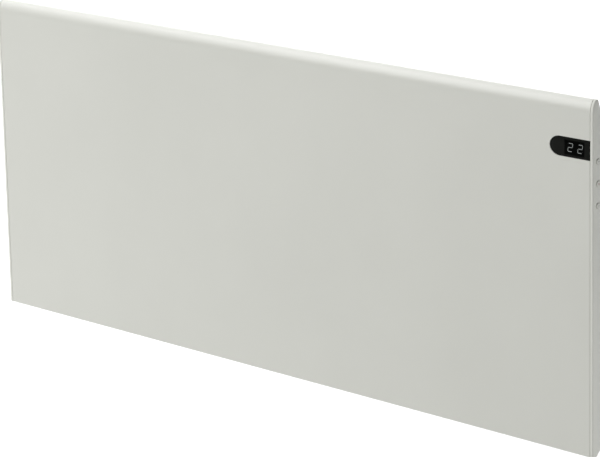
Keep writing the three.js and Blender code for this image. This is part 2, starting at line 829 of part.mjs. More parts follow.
// One bowed arm of the X-shaped section; sideY and sideZ choose the quarter that it points to.
function finArm(sideY, sideZ) {
  const bow = new THREE.QuadraticBezierCurve(
    new THREE.Vector2(rodRadius * armRoot[0], hubRadius * armRoot[1]),
    new THREE.Vector2(finsHalfDepth * armBow[0], finsHalfHeight * armBow[1]),
    new THREE.Vector2(finsHalfDepth - finTipThickness / 2, finsHalfHeight),
  );
  const sideAt = (t, direction) => {
    const tangent = bow.getTangent(t);
    const half = (finThickness + (finTipThickness - finThickness) * t) / 2;
    const normal = new THREE.Vector2(-tangent.y, tangent.x).multiplyScalar(direction * half);
    return bow.getPoint(t).add(normal);
  };
  const stops = Array.from({ length: armSteps + 1 }, (_, i) => i / armSteps);
  const loop = [...stops.map((t) => sideAt(t, -1)), ...stops.reverse().map((t) => sideAt(t, 1))];
  const placed = loop.map((point) => new THREE.Vector2(elementDepth + sideY * point.x,
    elementHeight + sideZ * point.y));
  return sideY * sideZ > 0 ? placed : placed.reverse();
}

function heatingFins() {
  const [from, to] = [finsOffset - finsLength / 2, finsOffset + finsLength / 2];
  const hub = alongX(circle(elementDepth, elementHeight, hubRadius), from, to,
    circle(elementDepth, elementHeight, rodRadius + fit));
  const quarters = [[1, 1], [-1, 1], [-1, -1], [1, -1]];
  const arms = quarters.map(([y, z]) => alongX(finArm(y, z), from, to));
  const bore = alongX(circle(elementDepth, elementHeight, rodRadius + fit),
    from - cutPast, to + cutPast);
  const slots = [];
  const count = Math.floor((finsLength - finSlotPitch) / finSlotPitch);
  for (let i = 1; i <= count; i += 1) {
    const x = finsOffset + (i - (count + 1) / 2) * finSlotPitch;
    [-1, 1].forEach((side) => {
      const reach = [finSlotStart, finsHalfHeight + 2 * cutPast];
      slots.push(box([x - finSlotWidth / 2, x + finSlotWidth / 2],
        [elementDepth - finsHalfDepth - cutPast, elementDepth + finsHalfDepth + cutPast],
        reach.map((z) => elementHeight + side * z).sort((a, b) => a - b)));
    });
  }
  return carve([hub, ...arms], [bore, ...slots]);
}

function heatingRod() {
  const half = finsLength / 2 + rodOverhang;
  return alongX(circle(elementDepth, elementHeight, rodRadius), finsOffset - half,
    finsOffset + half);
}

function rodEnd(side) {
  return finsOffset + side * (finsLength / 2 + rodOverhang);
}

function rodTerminal(side) {
  const profile = [
    [0, fit],
    [rodRadius - 1, fit],
    [rodRadius - 1, fit + terminalCollar],
    [terminalRadius, fit + terminalCollar],
    [terminalRadius, fit + terminalLength],
    [0, fit + terminalLength],
  ];
  const pin = turnedAlongX(profile, elementDepth, elementHeight, 12);
  return sided(pin, side).translate(rodEnd(side), 0, 0);
}

// Middle of a bracket's plate; the plate stands between the bush's two flanges.
function elementBracketMiddle(side) {
  return finsOffset + side * (finsLength / 2 + elementBracketGap);
}

function elementBush(side) {
  const half = elementBracketSheet / 2 + fit;
  const outer = half + bushFlangeThickness;
  const bore = rodRadius + fit;
  const neck = bushRadius - fit;
  return turnedAlongX([
    [bore, -outer], [bushFlange, -outer], [bushFlange, -half], [neck, -half],
    [neck, half], [bushFlange, half], [bushFlange, outer], [bore, outer], [bore, -outer],
  ], elementDepth, elementHeight).translate(elementBracketMiddle(side), 0, 0);
}

// An angle bracket with its foot on the pan; the right one also carries the thermal cut-out.
function elementBracket(side) {
  const rise = side > 0 ? cutoutHeight + cutoutRadius + cutoutMargin : 0;
  const back = panInner - fit;
  const half = elementBracketSheet / 2;
  const low = elementHeight - elementBracketHeight / 2;
  const high = elementHeight + elementBracketHeight / 2;
  const plate = roundedRectangle(shellDepth + elementBracketFront, back, low,
    Math.max(high, elementHeight + rise), blankCorner);
  const foot = box([-elementBracketFoot, half], [back - elementBracketSheet, back], [low, high]);
  const hole = circle(elementDepth, elementHeight, bushRadius);
  return carve(
    [alongX(plate, -half, half), foot],
    [alongX(hole, -half - cutPast, half + cutPast)],
  ).translate(elementBracketMiddle(side), 0, 0);
}

function cutoutFace() {
  return elementBracketMiddle(1) + elementBracketSheet / 2 + fit;
}

function thermalCutout() {
  const height = elementHeight + cutoutHeight;
  const face = cutoutFace();
  const middle = elementDepth + cutoutShift;
  const body = alongX(circle(middle, height, cutoutRadius), face, face + cutoutLength);
  const blades = [-1, 1].map((side) => box(
    [face + cutoutLength - 1, face + cutoutLength + bladeLength],
    [middle - bladeWidth / 2, middle + bladeWidth / 2],
    [height + side * bladeSpread - bladeSheet / 2, height + side * bladeSpread + bladeSheet / 2],
  ));
  return carve([body, ...blades]);
}

// Electronics compartment

function partition() {
  const back = panInner - fit;
  const clearance = panDraft + steelSheet + fit;
  const low = panBottom + clearance;
  const high = panTop - clearance;
  const plate = rectangle(flangeFront, back, low, high);
  const foot = box([partitionOffset, partitionOffset + partitionFoot], [back - steelSheet, back],
    [low, high]);
  const holes = [upperWireHole, lowerWireHole].map((height) => alongX(
    circle(wireHoleDepth(), height, wireHoleRadius),
    partitionOffset - cutPast, partitionOffset + steelSheet + cutPast,
  ));
  return carve([alongX(plate, partitionOffset, partitionOffset + steelSheet), foot], holes);
}

function wireHoleDepth() {
  return panInner - fit - steelSheet - wireHoleRadius - wireHoleMargin;
}

const trayBack = panInner - fit;
const powerBoardBack = trayBack - trayFloor - trayPost - fit;
const powerBoardFront = powerBoardBack - boardThickness;
const powerBoardLeft = partitionOffset + powerBoardSide;

function trayPostPlaces() {
  const margin = trayPostRadius + trayMargin;
  return [margin, powerBoardWidth - margin].flatMap((x) => [
    [powerBoardLeft + x, powerBoardBottom + margin],
    [powerBoardLeft + x, powerBoardTop - margin],
  ]);
}

function boardTray() {
  const outline = roundedRectangle(powerBoardLeft - trayMargin,
    powerBoardLeft + powerBoardWidth + trayMargin,
    powerBoardBottom - trayMargin, powerBoardTop + trayMargin, sheetCorner);
  const posts = trayPostPlaces().map(([x, z]) => alongY(
    circle(x, z, trayPostRadius, holeSteps), trayBack - trayFloor - trayPost, trayBack - 1,
  ));
  return carve([alongY(outline, trayBack - trayFloor, trayBack), ...posts]);
}

function powerBoard() {
  const outline = roundedRectangle(powerBoardLeft, powerBoardLeft + powerBoardWidth,
    powerBoardBottom, powerBoardTop, boardCorner);
  return alongY(outline, powerBoardFront, powerBoardBack);
}

// A component on the power board: size in x, y, z and the place of its middle on the board.
function boardComponent(size, place, corner) {
  const [width, depth, height] = size;
  const [x, z] = [powerBoardLeft + place[0], powerBoardTop - place[1]];
  const outline = roundedRectangle(x - width / 2, x + width / 2, z - height / 2, z + height / 2,
    corner);
  return alongY(outline, powerBoardFront - fit - depth, powerBoardFront - fit);
}

function poleOffset(pole) {
  const [width] = terminalBlockSize;
  return terminalBlockPlace[0] + (pole - (terminalPoles - 1) / 2) * (width / terminalPoles);
}

function terminalBlock() {
  const [width, depth, height] = terminalBlockSize;
  const [x, z] = terminalBlockPlace;
  const back = panInner - fit;
  const body = roundedRectangle(x - width / 2, x + width / 2, z - height / 2, z + height / 2, 1.5);
  const wells = Array.from({ length: terminalPoles }, (_, pole) => alongY(
    circle(poleOffset(pole), z, poleRadius, 4), back - depth - cutPast, back - depth / 2,
  ));
  const sills = Array.from({ length: terminalPoles - 1 }, (_, i) => box(
    [poleOffset(i + 0.5) - sillWidth / 2, poleOffset(i + 0.5) + sillWidth / 2],
    [back - depth - cutPast, back - depth + sillDepth],
    [z - height / 2 - cutPast, z + height / 2 + cutPast],
  ));
  return carve([alongY(body, back - depth, back)], [...wells, ...sills]);
}

function earthStud() {
  const back = panInner - fit;
  const [x, z] = earthStudPlace;
  return turnedAlongY([
    [0, back - earthStudLength],
    [earthStudRadius, back - earthStudLength],
    [earthStudRadius, back - earthNutThickness],
    [earthNutRadius, back - earthNutThickness],
    [earthNutRadius, back],
    [0, back],
  ], x, z, 12);
}

function cableGland() {
  const [x, z] = glandPlace;
  const head = panBack + fit;
  return turnedAlongY([
    [glandBore, head - glandBarrel],
    [glandThread, head - glandBarrel],
    [glandThread, head],
    [glandHead, head],
    [glandHead, head + glandShoulder],
    [glandBore + glandCollar, head + glandHeadLength],
    [glandBore, head + glandHeadLength],
    [glandBore, head - glandBarrel],
  ], x, z, 18);
}

function glandNut() {
  const [x, z] = glandPlace;
  const back = panInner - fit;
  const hexagon = circle(x, z, glandNutWidth, 3);
  return alongY(hexagon, back - glandNutThickness, back, circle(x, z, glandThread + fit));
}

function sensorHeight() {
  const taper = (panDraft * (sensorDepth - flangeFront)) / (panBack - flangeFront);
  return panBottom + taper + steelSheet + 2 * fit + clipWall + sensorRadius + clipFoot;
}

function roomSensor() {
  const half = sensorLength / 2;
  return turnedAlongX([
    [0, -half],
    [sensorRadius - 1, -half],
    [sensorRadius, -half + 1],
    [sensorRadius, half],
    [0, half],
  ], sensorDepth, sensorHeight(), 14).translate(sensorOffset, 0, 0);
}

// A moulded saddle that stands on the pan's bottom wall and grips the sensor.
function sensorClip() {
  const outer = sensorRadius + fit + clipWall;
  const floor = sensorHeight() - sensorRadius - fit - clipWall;
  const half = clipLength / 2;
  const x = [sensorOffset - half, sensorOffset + half];
  return carve([
    alongX(circle(sensorDepth, sensorHeight(), outer), ...x),
    box(x, [sensorDepth - outer, sensorDepth + outer], [floor, sensorHeight()]),
  ], [
    alongX(circle(sensorDepth, sensorHeight(), sensorRadius + fit),
      x[0] - cutPast, x[1] + cutPast),
    box([x[0] - cutPast, x[1] + cutPast],
      [sensorDepth - clipMouth / 2, sensorDepth + clipMouth / 2],
      [sensorHeight() + sensorRadius / 3, sensorHeight() + outer + cutPast]),
  ]);
}

// Leads: round tubes through hand-set points, and one flat ribbon

function lead(points, radius, steps) {
  const curve = new THREE.CatmullRomCurve3(points.map((point) => new THREE.Vector3(...point)));
  const shape = new THREE.Shape(circle(0, 0, radius, leadSides / 2));
  return new THREE.ExtrudeGeometry(shape, { steps, extrudePath: curve, bevelEnabled: false });
}

function supplyLead(pole, x, z) {
  const top = terminalBlockPlace[1] + terminalBlockSize[2] / 2 + fit;
  const start = poleOffset(pole);
  const depth = panInner - fit - terminalBlockSize[1] / 2;
  const solder = powerBoardFront - fit;
  return lead([
    [start, depth, top],
    [start, depth, top + 5],
    [(start + x) / 2, solder - 9, (top + z) / 2],
    [x, solder - 9, z - 4],
    [x, solder - 4, z],
    [x, solder, z],
  ], leadRadius, 22);
}

function earthLead() {
  const [x, z] = earthStudPlace;
  const bottom = terminalBlockPlace[1] - terminalBlockSize[2] / 2 - fit;
  const start = poleOffset(terminalPoles - 1);
  const depth = panInner - fit - terminalBlockSize[1] / 2;
  const end = x + earthStudRadius + fit;
  return lead([
    [start, depth, bottom],
    [start, depth, bottom - 5],
    [start - 12, depth, z + 8],
    [end + 14, depth, z],
    [end + 5, depth, z],
    [end, depth, z],
  ], leadRadius, 20);
}

function switchedLead() {
  const height = elementHeight + cutoutHeight + bladeSpread;
  const start = cutoutFace() + cutoutLength + bladeLength + fit;
  const solder = powerBoardFront - fit;
  const x = powerBoardLeft + 8;
  return lead([
    [start, elementDepth + cutoutShift, height],
    [start + 4, elementDepth + 5, height],
    [partitionOffset + steelSheet / 2, wireHoleDepth(), upperWireHole],
    [x - 1, solder - 9, upperWireHole + 14],
    [x, solder - 6, upperWireHole + 23],
    [x, solder - 2, upperWireHole + 24],
    [x, solder, upperWireHole + 24],
  ], leadRadius, 18);
}

function bridgeLead() {
  const height = elementHeight + cutoutHeight - bladeSpread;
  const start = cutoutFace() + cutoutLength + bladeLength + fit;
  const end = rodEnd(1) + 2 * fit + terminalLength;
  return lead([
    [start, elementDepth + cutoutShift, height],
    [start + 3, elementDepth + cutoutShift, height - 1],
    [start + 4, elementDepth + 2, height - 10],
    [end + 5, elementDepth, elementHeight + 6],
    [end + 3, elementDepth, elementHeight],
    [end, elementDepth, elementHeight],
  ], leadRadius, 18);
}

// Runs from the rod's left end down to the pan's bottom edge, along it and up to the board.
function returnLead() {
  const end = rodEnd(-1) - 2 * fit - terminalLength;
  const solder = powerBoardFront - fit;
  const depth = wireHoleDepth();
  const taper = (panDraft * (depth - flangeFront)) / (panBack - flangeFront);
  const floor = panBottom + taper + steelSheet + 4 * fit + leadRadius;
  const x = powerBoardLeft + 4;
  return lead([
    [end, elementDepth, elementHeight],
    [end - 3, elementDepth, elementHeight],
    [end - 7, elementDepth + 2, elementHeight - 8],
    [end - 6, depth - 4, elementHeight - 40],
    [end + 2, depth, floor + 14],
    [end + 12, depth, floor + 4],
    [end + 28, depth, floor + 1],
    [end + 60, depth, floor],
    [end + 90, depth, floor],
    [finsOffset, depth, floor],
    [partitionOffset - 110, depth, floor],
    [partitionOffset - 80, depth, floor],
    [partitionOffset - 30, depth, floor + 2],
    [partitionOffset, depth, lowerWireHole],
    [partitionOffset + 10, depth - 6, lowerWireHole + 20],
    [x, solder - 8, powerBoardBottom - 30],
    [x, solder - 8, powerBoardBottom],
    [x, solder - 4, powerBoardBottom + 5],
    [x, solder, powerBoardBottom + 6],
  ], leadRadius, 72);
}

function sensorLead() {
  const x = sensorOffset + sensorLength / 2 + fit;
  const solder = powerBoardFront - fit;
  const end = powerBoardLeft + powerBoardWidth - 8;
  return lead([
    [x, sensorDepth, sensorHeight()],
    [x + 5, sensorDepth, sensorHeight()],
    [end + 4, sensorDepth - 2, sensorHeight() + 18],
    [end + 4, solder - 14, powerBoardBottom - 20],
    [end, solder - 8, powerBoardBottom + 4],
    [end, solder - 4, powerBoardBottom + 10],
    [end, solder, powerBoardBottom + 10],
  ], sensorLeadRadius, 34);
}

// Flat cable between the two boards, in an S from one face to the other.
function ribbonCable() {
  const from = new THREE.Vector2(powerBoardLeft + powerBoardWidth - 14, powerBoardFront - fit);
  const to = new THREE.Vector2(controlBoardLeft + 8, boardBack + fit);
  const bow = new THREE.CubicBezierCurve(from, new THREE.Vector2(from.x, to.y - 2),
    new THREE.Vector2(to.x, from.y - 4), to);
  const line = bow.getPoints(12);
  const strip = line.concat(inset(line, ribbonThickness, false).reverse());
  const low = buttonHeights[0] - ribbonWidth / 2;
  return alongZ(strip, low, low + ribbonWidth);
}

function casingScrew(side, height) {
  const seat = flangeBack + fit;
  return turnedAlongY([
    [0, seat - screwLength + steelSheet],
    [screwRadius, seat - screwLength + steelSheet + 1],
    [screwRadius, seat],
    [screwHead, seat],
    [screwHead, seat + 0.5 * screwHeadThickness],
    [0.6 * screwHead, seat + screwHeadThickness],
    [0, seat + screwHeadThickness],
  ], side * capScrewOffset(), height, 12);
}

// Wall bracket, drawn with the heater's depth; its group brings it back to the wall.

// One arm: a hook plate standing off the wall, the web that is screwed on, and an ear at the
// top, all folded from one blank.
function bracketArm() {
  const half = bracketSheet / 2;
  const back = panBack + earGap;
  const inside = panInner - fit - bracketSheet;
  const hookPlate = [
    [back, hookPlateBottom],
    [wallDepth, hookPlateBottom - hookPlateSlope],
    [wallDepth, armTop],
    [back, armTop],
    [back, hookSeat],
    [inside - fit, hookSeat],
    [inside - hookReach / 3, hookSeat + hookRise],
    [inside - hookReach / 3 - hookTip, hookSeat + hookRise],
    [inside - hookReach / 3 - hookTip, hookSeat - hookRise],
  ].map(([y, z]) => new THREE.Vector2(y, z));
  const plate = alongX(hookPlate, armOffset - half, armOffset + half);
  const web = alongY(roundedRectangle(armOffset - half, armOffset + armWidth,
    armBottom, armTop, blankCorner), webFront, wallDepth);
  const ear = alongY(roundedRectangle(armOffset - half, armOffset + armWidth,
    armTop - earHeight, armTop, blankCorner), earFront, earBack);
  return [plate, web, ear];
}

function bracketRail(height) {
  const reach = armOffset;
  const low = height - railHeight / 2;
  const high = height + railHeight / 2;
  return [
    box([-reach, reach], [webFront, wallDepth], [low, high]),
    box([-reach, reach], [wallDepth - railLip, wallDepth], [high - bracketSheet, high]),
  ];
}

function wallBracket() {
  const arm = bracketArm();
  const holes = [mountHeight, lowerRailHeight].flatMap((height) => [-1, 1].map((side) => alongY(
    circle(side * wallScrewSpread, height, wallScrewRadius, holeSteps),
    webFront - cutPast, wallDepth + cutPast,
  )));
  const armHoles = [-1, 1].flatMap((side) => [
    alongY(circle(side * catchOffset, catchHeight, catchShank + fit), earFront - cutPast,
      earBack + cutPast),
    alongY(circle(side * catchOffset, (armTop + armBottom) / 2, wallScrewRadius, holeSteps),
      webFront - cutPast, wallDepth + cutPast),
  ]);
  return carve(
    [...arm, ...arm.map(mirrored), ...bracketRail(mountHeight), ...bracketRail(lowerRailHeight)],
    [...holes, ...armHoles],
  );
}

// T-headed bolt: its head lies behind the pan's wall, its shank turns in the bracket's ear.
function catchBolt(side) {
  const x = side * catchOffset;
  const headBack = panInner - catchHeadGap;
  const leverBack = earBack + 2 * fit + leverThickness;
  return carve([
    alongY(slot(x, catchHeight, catchHeadLength, catchHeadWidth, slotSteps),
      headBack - catchHeadThickness, headBack),
    alongY(circle(x, catchHeight, catchShank), headBack - 1, leverBack + fit),
    alongY(circle(x, catchHeight, rivetHead), leverBack, leverBack + rivetHeadThickness),
  ]);
}

function catchLever(side) {
  const front = earBack + fit;
  const hub = circle(catchOffset, catchHeight, leverHub);
  const bar = slot(catchOffset + (leverLength - leverWidth / 2) / 2, catchHeight,
    leverLength + leverWidth / 2, leverWidth, slotSteps);
  const tab = box(
    [catchOffset + leverLength - leverWidth / 3, catchOffset + leverLength - tabMargin],
    [front, front + tabHeight],
    [catchHeight - leverWidth / 3, catchHeight + leverWidth / 3],
  );
  const lever = carve([
    alongY(hub, front, front + leverThickness),
    alongY(bar, front, front + leverThickness),
    tab,
  ], [
    alongY(circle(catchOffset, catchHeight, catchShank + fit),
      front - cutPast, front + leverThickness + cutPast),
  ]);
  return sided(lever, side);
}

// Assembly

const sides = [[-1, 'left'], [1, 'right']];
const switchNames = ['upper', 'middle', 'lower'];

function heaterParts() {
  const heater = new THREE.Group();
  heater.add(
    part('front_panel', frontPanel(), 'paint'),
    part('rear_pan', rearPan(), 'zinc'),
    part('end_cap_left', mirrored(plainCap()), 'capPlastic'),
    part('end_cap_right', rightCap(), 'capPlastic'),
    part('display_lens', displayLens(), 'lens'),
    part('digit_module', digitModule(), 'ledFace'),
    part('control_board', controlBoard(), 'board'),
    part('board_insulator', boardInsulator(), 'fibre'),
    part('heat_shield', heatShield(), 'aluminium'),
    part('heating_fins', heatingFins(), 'aluminium'),
    part('heating_rod', heatingRod(), 'steelRod'),
    part('thermal_cutout', thermalCutout(), 'phenolic'),
    part('partition', partition(), 'zinc'),
    part('board_tray', boardTray(), 'nylon'),
    part('power_board', powerBoard(), 'board'),
    part('relay', boardComponent(relaySize, relayPlace, 1), 'relay'),
    part('supply_module', boardComponent(supplySize, supplyPlace, 1.5), 'nylon'),
    part('filter_capacitor', boardComponent(capacitorSize, capacitorPlace, 1), 'capacitor'),
    part('terminal_block', terminalBlock(), 'clearNylon'),
    part('earth_stud', earthStud(), 'brass'),
    part('cable_gland', cableGland(), 'nylon'),
    part('gland_nut', glandNut(), 'nylon'),
    part('room_sensor', roomSensor(), 'nylon'),
    part('sensor_clip', sensorClip(), 'clearNylon'),
    part('lead_live', supplyLead(0, powerBoardLeft + 18, powerBoardBottom + 18), 'brownLead'),
    part('lead_neutral', supplyLead(1, powerBoardLeft + 44, powerBoardBottom + 12), 'blueLead'),
    part('lead_earth', earthLead(), 'earthLead'),
    part('lead_switched', switchedLead(), 'blackLead'),
    part('lead_bridge', bridgeLead(), 'blackLead'),
    part('lead_return', returnLead(), 'blueLead'),
    part('lead_sensor', sensorLead(), 'greyLead'),
    part('ribbon_cable', ribbonCable(), 'greyLead'),
  );
  buttonHeights.forEach((height, i) => {
    heater.add(part(`button_${switchNames[i]}`, pushButton(height), 'capPlastic'));
    heater.add(part(`tact_switch_${switchNames[i]}`, tactSwitch(height), 'nylon'));
  });
  sides.forEach(([side, word]) => {
    heater.add(
      part(`hanger_plate_${word}`, hangerPlate(side), 'zinc'),
      part(`element_bracket_${word}`, elementBracket(side), 'zinc'),
      part(`element_bush_${word}`, elementBush(side), 'ceramic'),
      part(`rod_terminal_${word}`, rodTerminal(side), 'steelRod'),
    );
    capScrewHeights().forEach((height, i) => {
      heater.add(part(`casing_screw_${word}_${i ? 'upper' : 'lower'}`, casingScrew(side, height),
        'zinc'));
    });
  });
  return heater;
}

function bracketParts() {
  const bracket = new THREE.Group();
  bracket.add(part('wall_bracket', wallBracket(), 'zinc'));
  sides.forEach(([side, word]) => {
    bracket.add(
      part(`catch_bolt_${word}`, catchBolt(side), 'nylon'),
      part(`catch_lever_${word}`, catchLever(side), 'nylon'),
    );
  });
  return bracket;
}

const model = new THREE.Group();
model.add(heaterParts(), bracketParts());
model.children.forEach((group) => group.position.set(0, -wallDepth, -mountHeight));

export default model;
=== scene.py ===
import math
import bpy
import bmesh
from mathutils import Matrix, Vector


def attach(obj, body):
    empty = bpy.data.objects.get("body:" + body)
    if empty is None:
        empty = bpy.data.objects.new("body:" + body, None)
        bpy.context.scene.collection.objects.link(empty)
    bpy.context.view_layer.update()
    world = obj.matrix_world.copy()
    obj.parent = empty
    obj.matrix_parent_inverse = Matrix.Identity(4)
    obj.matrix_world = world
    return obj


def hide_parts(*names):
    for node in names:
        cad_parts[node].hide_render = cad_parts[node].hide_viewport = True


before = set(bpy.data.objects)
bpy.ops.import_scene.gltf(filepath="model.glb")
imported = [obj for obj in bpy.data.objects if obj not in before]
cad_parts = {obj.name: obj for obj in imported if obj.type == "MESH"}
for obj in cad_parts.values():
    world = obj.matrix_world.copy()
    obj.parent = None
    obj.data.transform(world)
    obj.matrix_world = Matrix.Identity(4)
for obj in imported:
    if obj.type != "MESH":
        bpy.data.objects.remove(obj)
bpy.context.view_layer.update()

# Wall panel convector heater. Everything is drawn in the heater's own millimetres:
# x along the panel, y behind the front face, z above the lower edge.
heater = dict(height=370.0, depth=14.5, wallDepth=87.5, mountHeight=270.0, sheet=0.8, fit=0.3,
              panBack=56.5, flangeFront=12.6, flangeBack=13.4)
past = 1.0  # how far a cutting shape reaches past what it cuts


def place(x, y, z):
    return Vector((x / 1000, (y - heater["wallDepth"]) / 1000, (z - heater["mountHeight"]) / 1000))


def mm(value):
    return value / 1000


# Long lens, fitted to the edges of the photographed heater.
photoView = dict(pictureWidth=600, focalPixels=3148.92, yaw=45.4367, pitch=14.1703, roll=-1.3064,
                 x=2413.349, y=-2333.540, z=1012.272, sensor=36, clip=(0.05, 60))


def setCamera():
    v = photoView
    yaw, pitch, roll = (math.radians(v[k]) for k in ("yaw", "pitch", "roll"))
    ahead = Vector((-math.sin(yaw) * math.cos(pitch), math.cos(yaw) * math.cos(pitch),
                    -math.sin(pitch)))
    level = Vector((math.cos(yaw), math.sin(yaw), 0))
    upright = level.cross(ahead)
    right = math.cos(roll) * level + math.sin(roll) * upright
    up = math.cos(roll) * upright - math.sin(roll) * level
    data = bpy.data.cameras.new("photoCamera")
    data.sensor_width = v["sensor"]
    data.lens = data.sensor_width * v["focalPixels"] / v["pictureWidth"]
    data.clip_start, data.clip_end = v["clip"]
    camera = bpy.data.objects.new("photoCamera", data)
    bpy.context.scene.collection.objects.link(camera)
    turn = Matrix((right, up, -ahead)).transposed().to_4x4()
    camera.matrix_world = Matrix.Translation(place(v["x"], v["y"], v["z"])) @ turn
    bpy.context.scene.camera = camera


setCamera()
print("camera set")


# Materials

def srgb(code):
    parts = [int(code[i:i + 2], 16) / 255 for i in (1, 3, 5)]
    return tuple(p / 12.92 if p <= 0.04045 else ((p + 0.055) / 1.055) ** 2.4
                 for p in parts) + (1.0,)


def addNode(tree, kind, links=None, values=None, stops=None, **settings):
    node = tree.nodes.new("ShaderNode" + kind)
    for key, value in settings.items():
        setattr(node, key, value)
    for key, value in (values or {}).items():
        node.inputs[key].default_value = value
    for key, source in (links or {}).items():
        tree.links.new(getattr(source, "outputs", [source])[0], node.inputs[key])
    if stops:
        spots = node.color_ramp.elements
        while len(spots) < len(stops):
            spots.new(0.5)
        for spot, (position, code) in zip(spots, stops):
            spot.position, spot.color = position, srgb(code)
    return node


def startMaterial(name, **values):
    material = bpy.data.materials.new(name)
    material.use_nodes = True
    tree = material.node_tree
    tree.nodes.clear()
    shader = addNode(tree, "BsdfPrincipled", values=values)
    addNode(tree, "OutputMaterial", {"Surface": shader})
    where = addNode(tree, "TexCoord").outputs["Object"]
    return material, tree, shader, where


def finish(tree, shader, **sources):
    names = dict(colour="Base Color", roughness="Roughness", normal="Normal",
                 emission="Emission Color")
    for key, source in sources.items():
        tree.links.new(source.outputs[0], shader.inputs[names[key]])


# One material from noise of a real grain size: tone, roughness and relief follow the same grain.
# stretch draws the grain out along an axis, as rolling, drawing and extrusion do.
def grainedMaterial(name, light, dark, grain, roughness, relief=0.006, metallic=0.0, ior=1.5,
                    stretch=(1, 1, 1), detail=2.0, strength=0.6, swing=0.05):
    values = {"Metallic": metallic} if metallic else {"IOR": ior}
    material, tree, shader, where = startMaterial(name, **values)
    drawn = addNode(tree, "VectorMath", {0: where}, {1: stretch}, operation="MULTIPLY")
    noise = addNode(tree, "TexNoise", {"Vector": drawn}, {"Scale": 1000 / grain, "Detail": detail})
    finish(tree, shader,
           colour=addNode(tree, "ValToRGB", {"Fac": noise}, stops=[(0.3, dark), (0.7, light)]),
           roughness=addNode(tree, "MapRange", {"Value": noise},
                             {"To Min": roughness + swing, "To Max": roughness - swing}),
           normal=addNode(tree, "Bump", {"Height": noise},
                          {"Distance": mm(relief), "Strength": strength}))
    return material


# Polyester powder coat, sprayed on steel sheet and baked. Its orange peel, 2 mm across, breaks up
# highlights, and a slow drift in film thickness keeps the wide front from looking dead flat.
powderCoat = dict(light="#DADBD3", dark="#D7D8D0", drift=160.0, peel=2.2, peelDepth=0.010,
                  roughness=0.33)


def powderCoatedSteel():
    p = powderCoat
    material, tree, shader, where = startMaterial("powderCoatedSteel", IOR=1.6)
    drift = addNode(tree, "TexNoise", {"Vector": where},
                    {"Scale": 1000 / p["drift"], "Detail": 2.0})
    peel = addNode(tree, "TexNoise", {"Vector": where},
                   {"Scale": 1000 / p["peel"], "Detail": 1.5, "Roughness": 0.45})
    finish(tree, shader,
           colour=addNode(tree, "ValToRGB", {"Fac": drift},
                          stops=[(0.3, p["dark"]), (0.7, p["light"])]),
           roughness=addNode(tree, "MapRange", {"Value": peel},
                             {"To Min": p["roughness"] - 0.03, "To Max": p["roughness"] + 0.05}),
           normal=addNode(tree, "Bump", {"Height": peel},
                          {"Distance": mm(p["peelDepth"]), "Strength": 0.6}))
    return material


# Smoked acrylic over a printed border, hard coated: the border is black-grey, the window in it
# all but black, the coat keeps the gloss low, and fine wiping marks dull it a little.
smokedAcrylic = dict(border="#1F201E", borderDark="#1B1C1A", window="#020302",
                     centre=(434.3, 318.3), half=(13.0, 7.6), blur=0.7, haze=12.0, roughness=0.22)


def smokedAcrylicLens():
    p = smokedAcrylic
    material, tree, shader, where = startMaterial(
        "smokedAcrylic", **{"IOR": 1.49, "Specular IOR Level": 0.02})
    haze = addNode(tree, "TexNoise", {"Vector": where}, {"Scale": 1000 / p["haze"], "Detail": 3.0})
    border = addNode(tree, "ValToRGB", {"Fac": haze},
                     stops=[(0.3, p["borderDark"]), (0.7, p["border"])])
    across = addNode(tree, "SeparateXYZ", {"Vector": where})
    centre, beyond = place(p["centre"][0], 0, p["centre"][1]), []
    for axis, middle, half in (("X", centre.x, p["half"][0]), ("Z", centre.z, p["half"][1])):
        offset = addNode(tree, "Math", {0: across.outputs[axis]}, {1: middle},
                         operation="SUBTRACT")
        away = addNode(tree, "Math", {0: offset}, operation="ABSOLUTE")
        beyond.append(addNode(tree, "Math", {0: away}, {1: mm(half)}, operation="SUBTRACT"))
    edge = addNode(tree, "Math", {0: beyond[0], 1: beyond[1]}, operation="MAXIMUM")
    outside = addNode(tree, "MapRange", {"Value": edge},
                      {"From Min": mm(-p["blur"]), "From Max": mm(p["blur"])})
    mixed = addNode(tree, "MixRGB", {"Fac": outside, "Color2": border},
                    {"Color1": srgb(p["window"])})
    finish(tree, shader, colour=mixed,
           roughness=addNode(tree, "MapRange", {"Value": haze},
                             {"To Min": p["roughness"] - 0.04, "To Max": p["roughness"] + 0.06}))
    return material


# Milky diffuser of a lit stroke: the die below gives a dim, even, cool white.
litStroke = dict(light="#868A88", dark="#7C807E", grain=0.6, glow=0.12)


def litDiffuser():
    p = litStroke
    material, tree, shader, where = startMaterial(
        "litDiffuser", **{"IOR": 1.5, "Roughness": 0.45, "Emission Strength": p["glow"]})
    noise = addNode(tree, "TexNoise", {"Vector": where},
                    {"Scale": 1000 / p["grain"], "Detail": 1.0})
    tone = addNode(tree, "ValToRGB", {"Fac": noise}, stops=[(0.3, p["dark"]), (0.7, p["light"])])
    finish(tree, shader, colour=tone, emission=tone)
    return material


# Hot-dip galvanised sheet: crystals of zinc 6 mm across, each its own grey, under a dull bloom.
galvanised = dict(spangle=6.0, light="#B9BDBF", mid="#AEB2B4", dark="#A2A7AA", roughness=0.42,
                  depth=0.01, bloomScale=30.0)


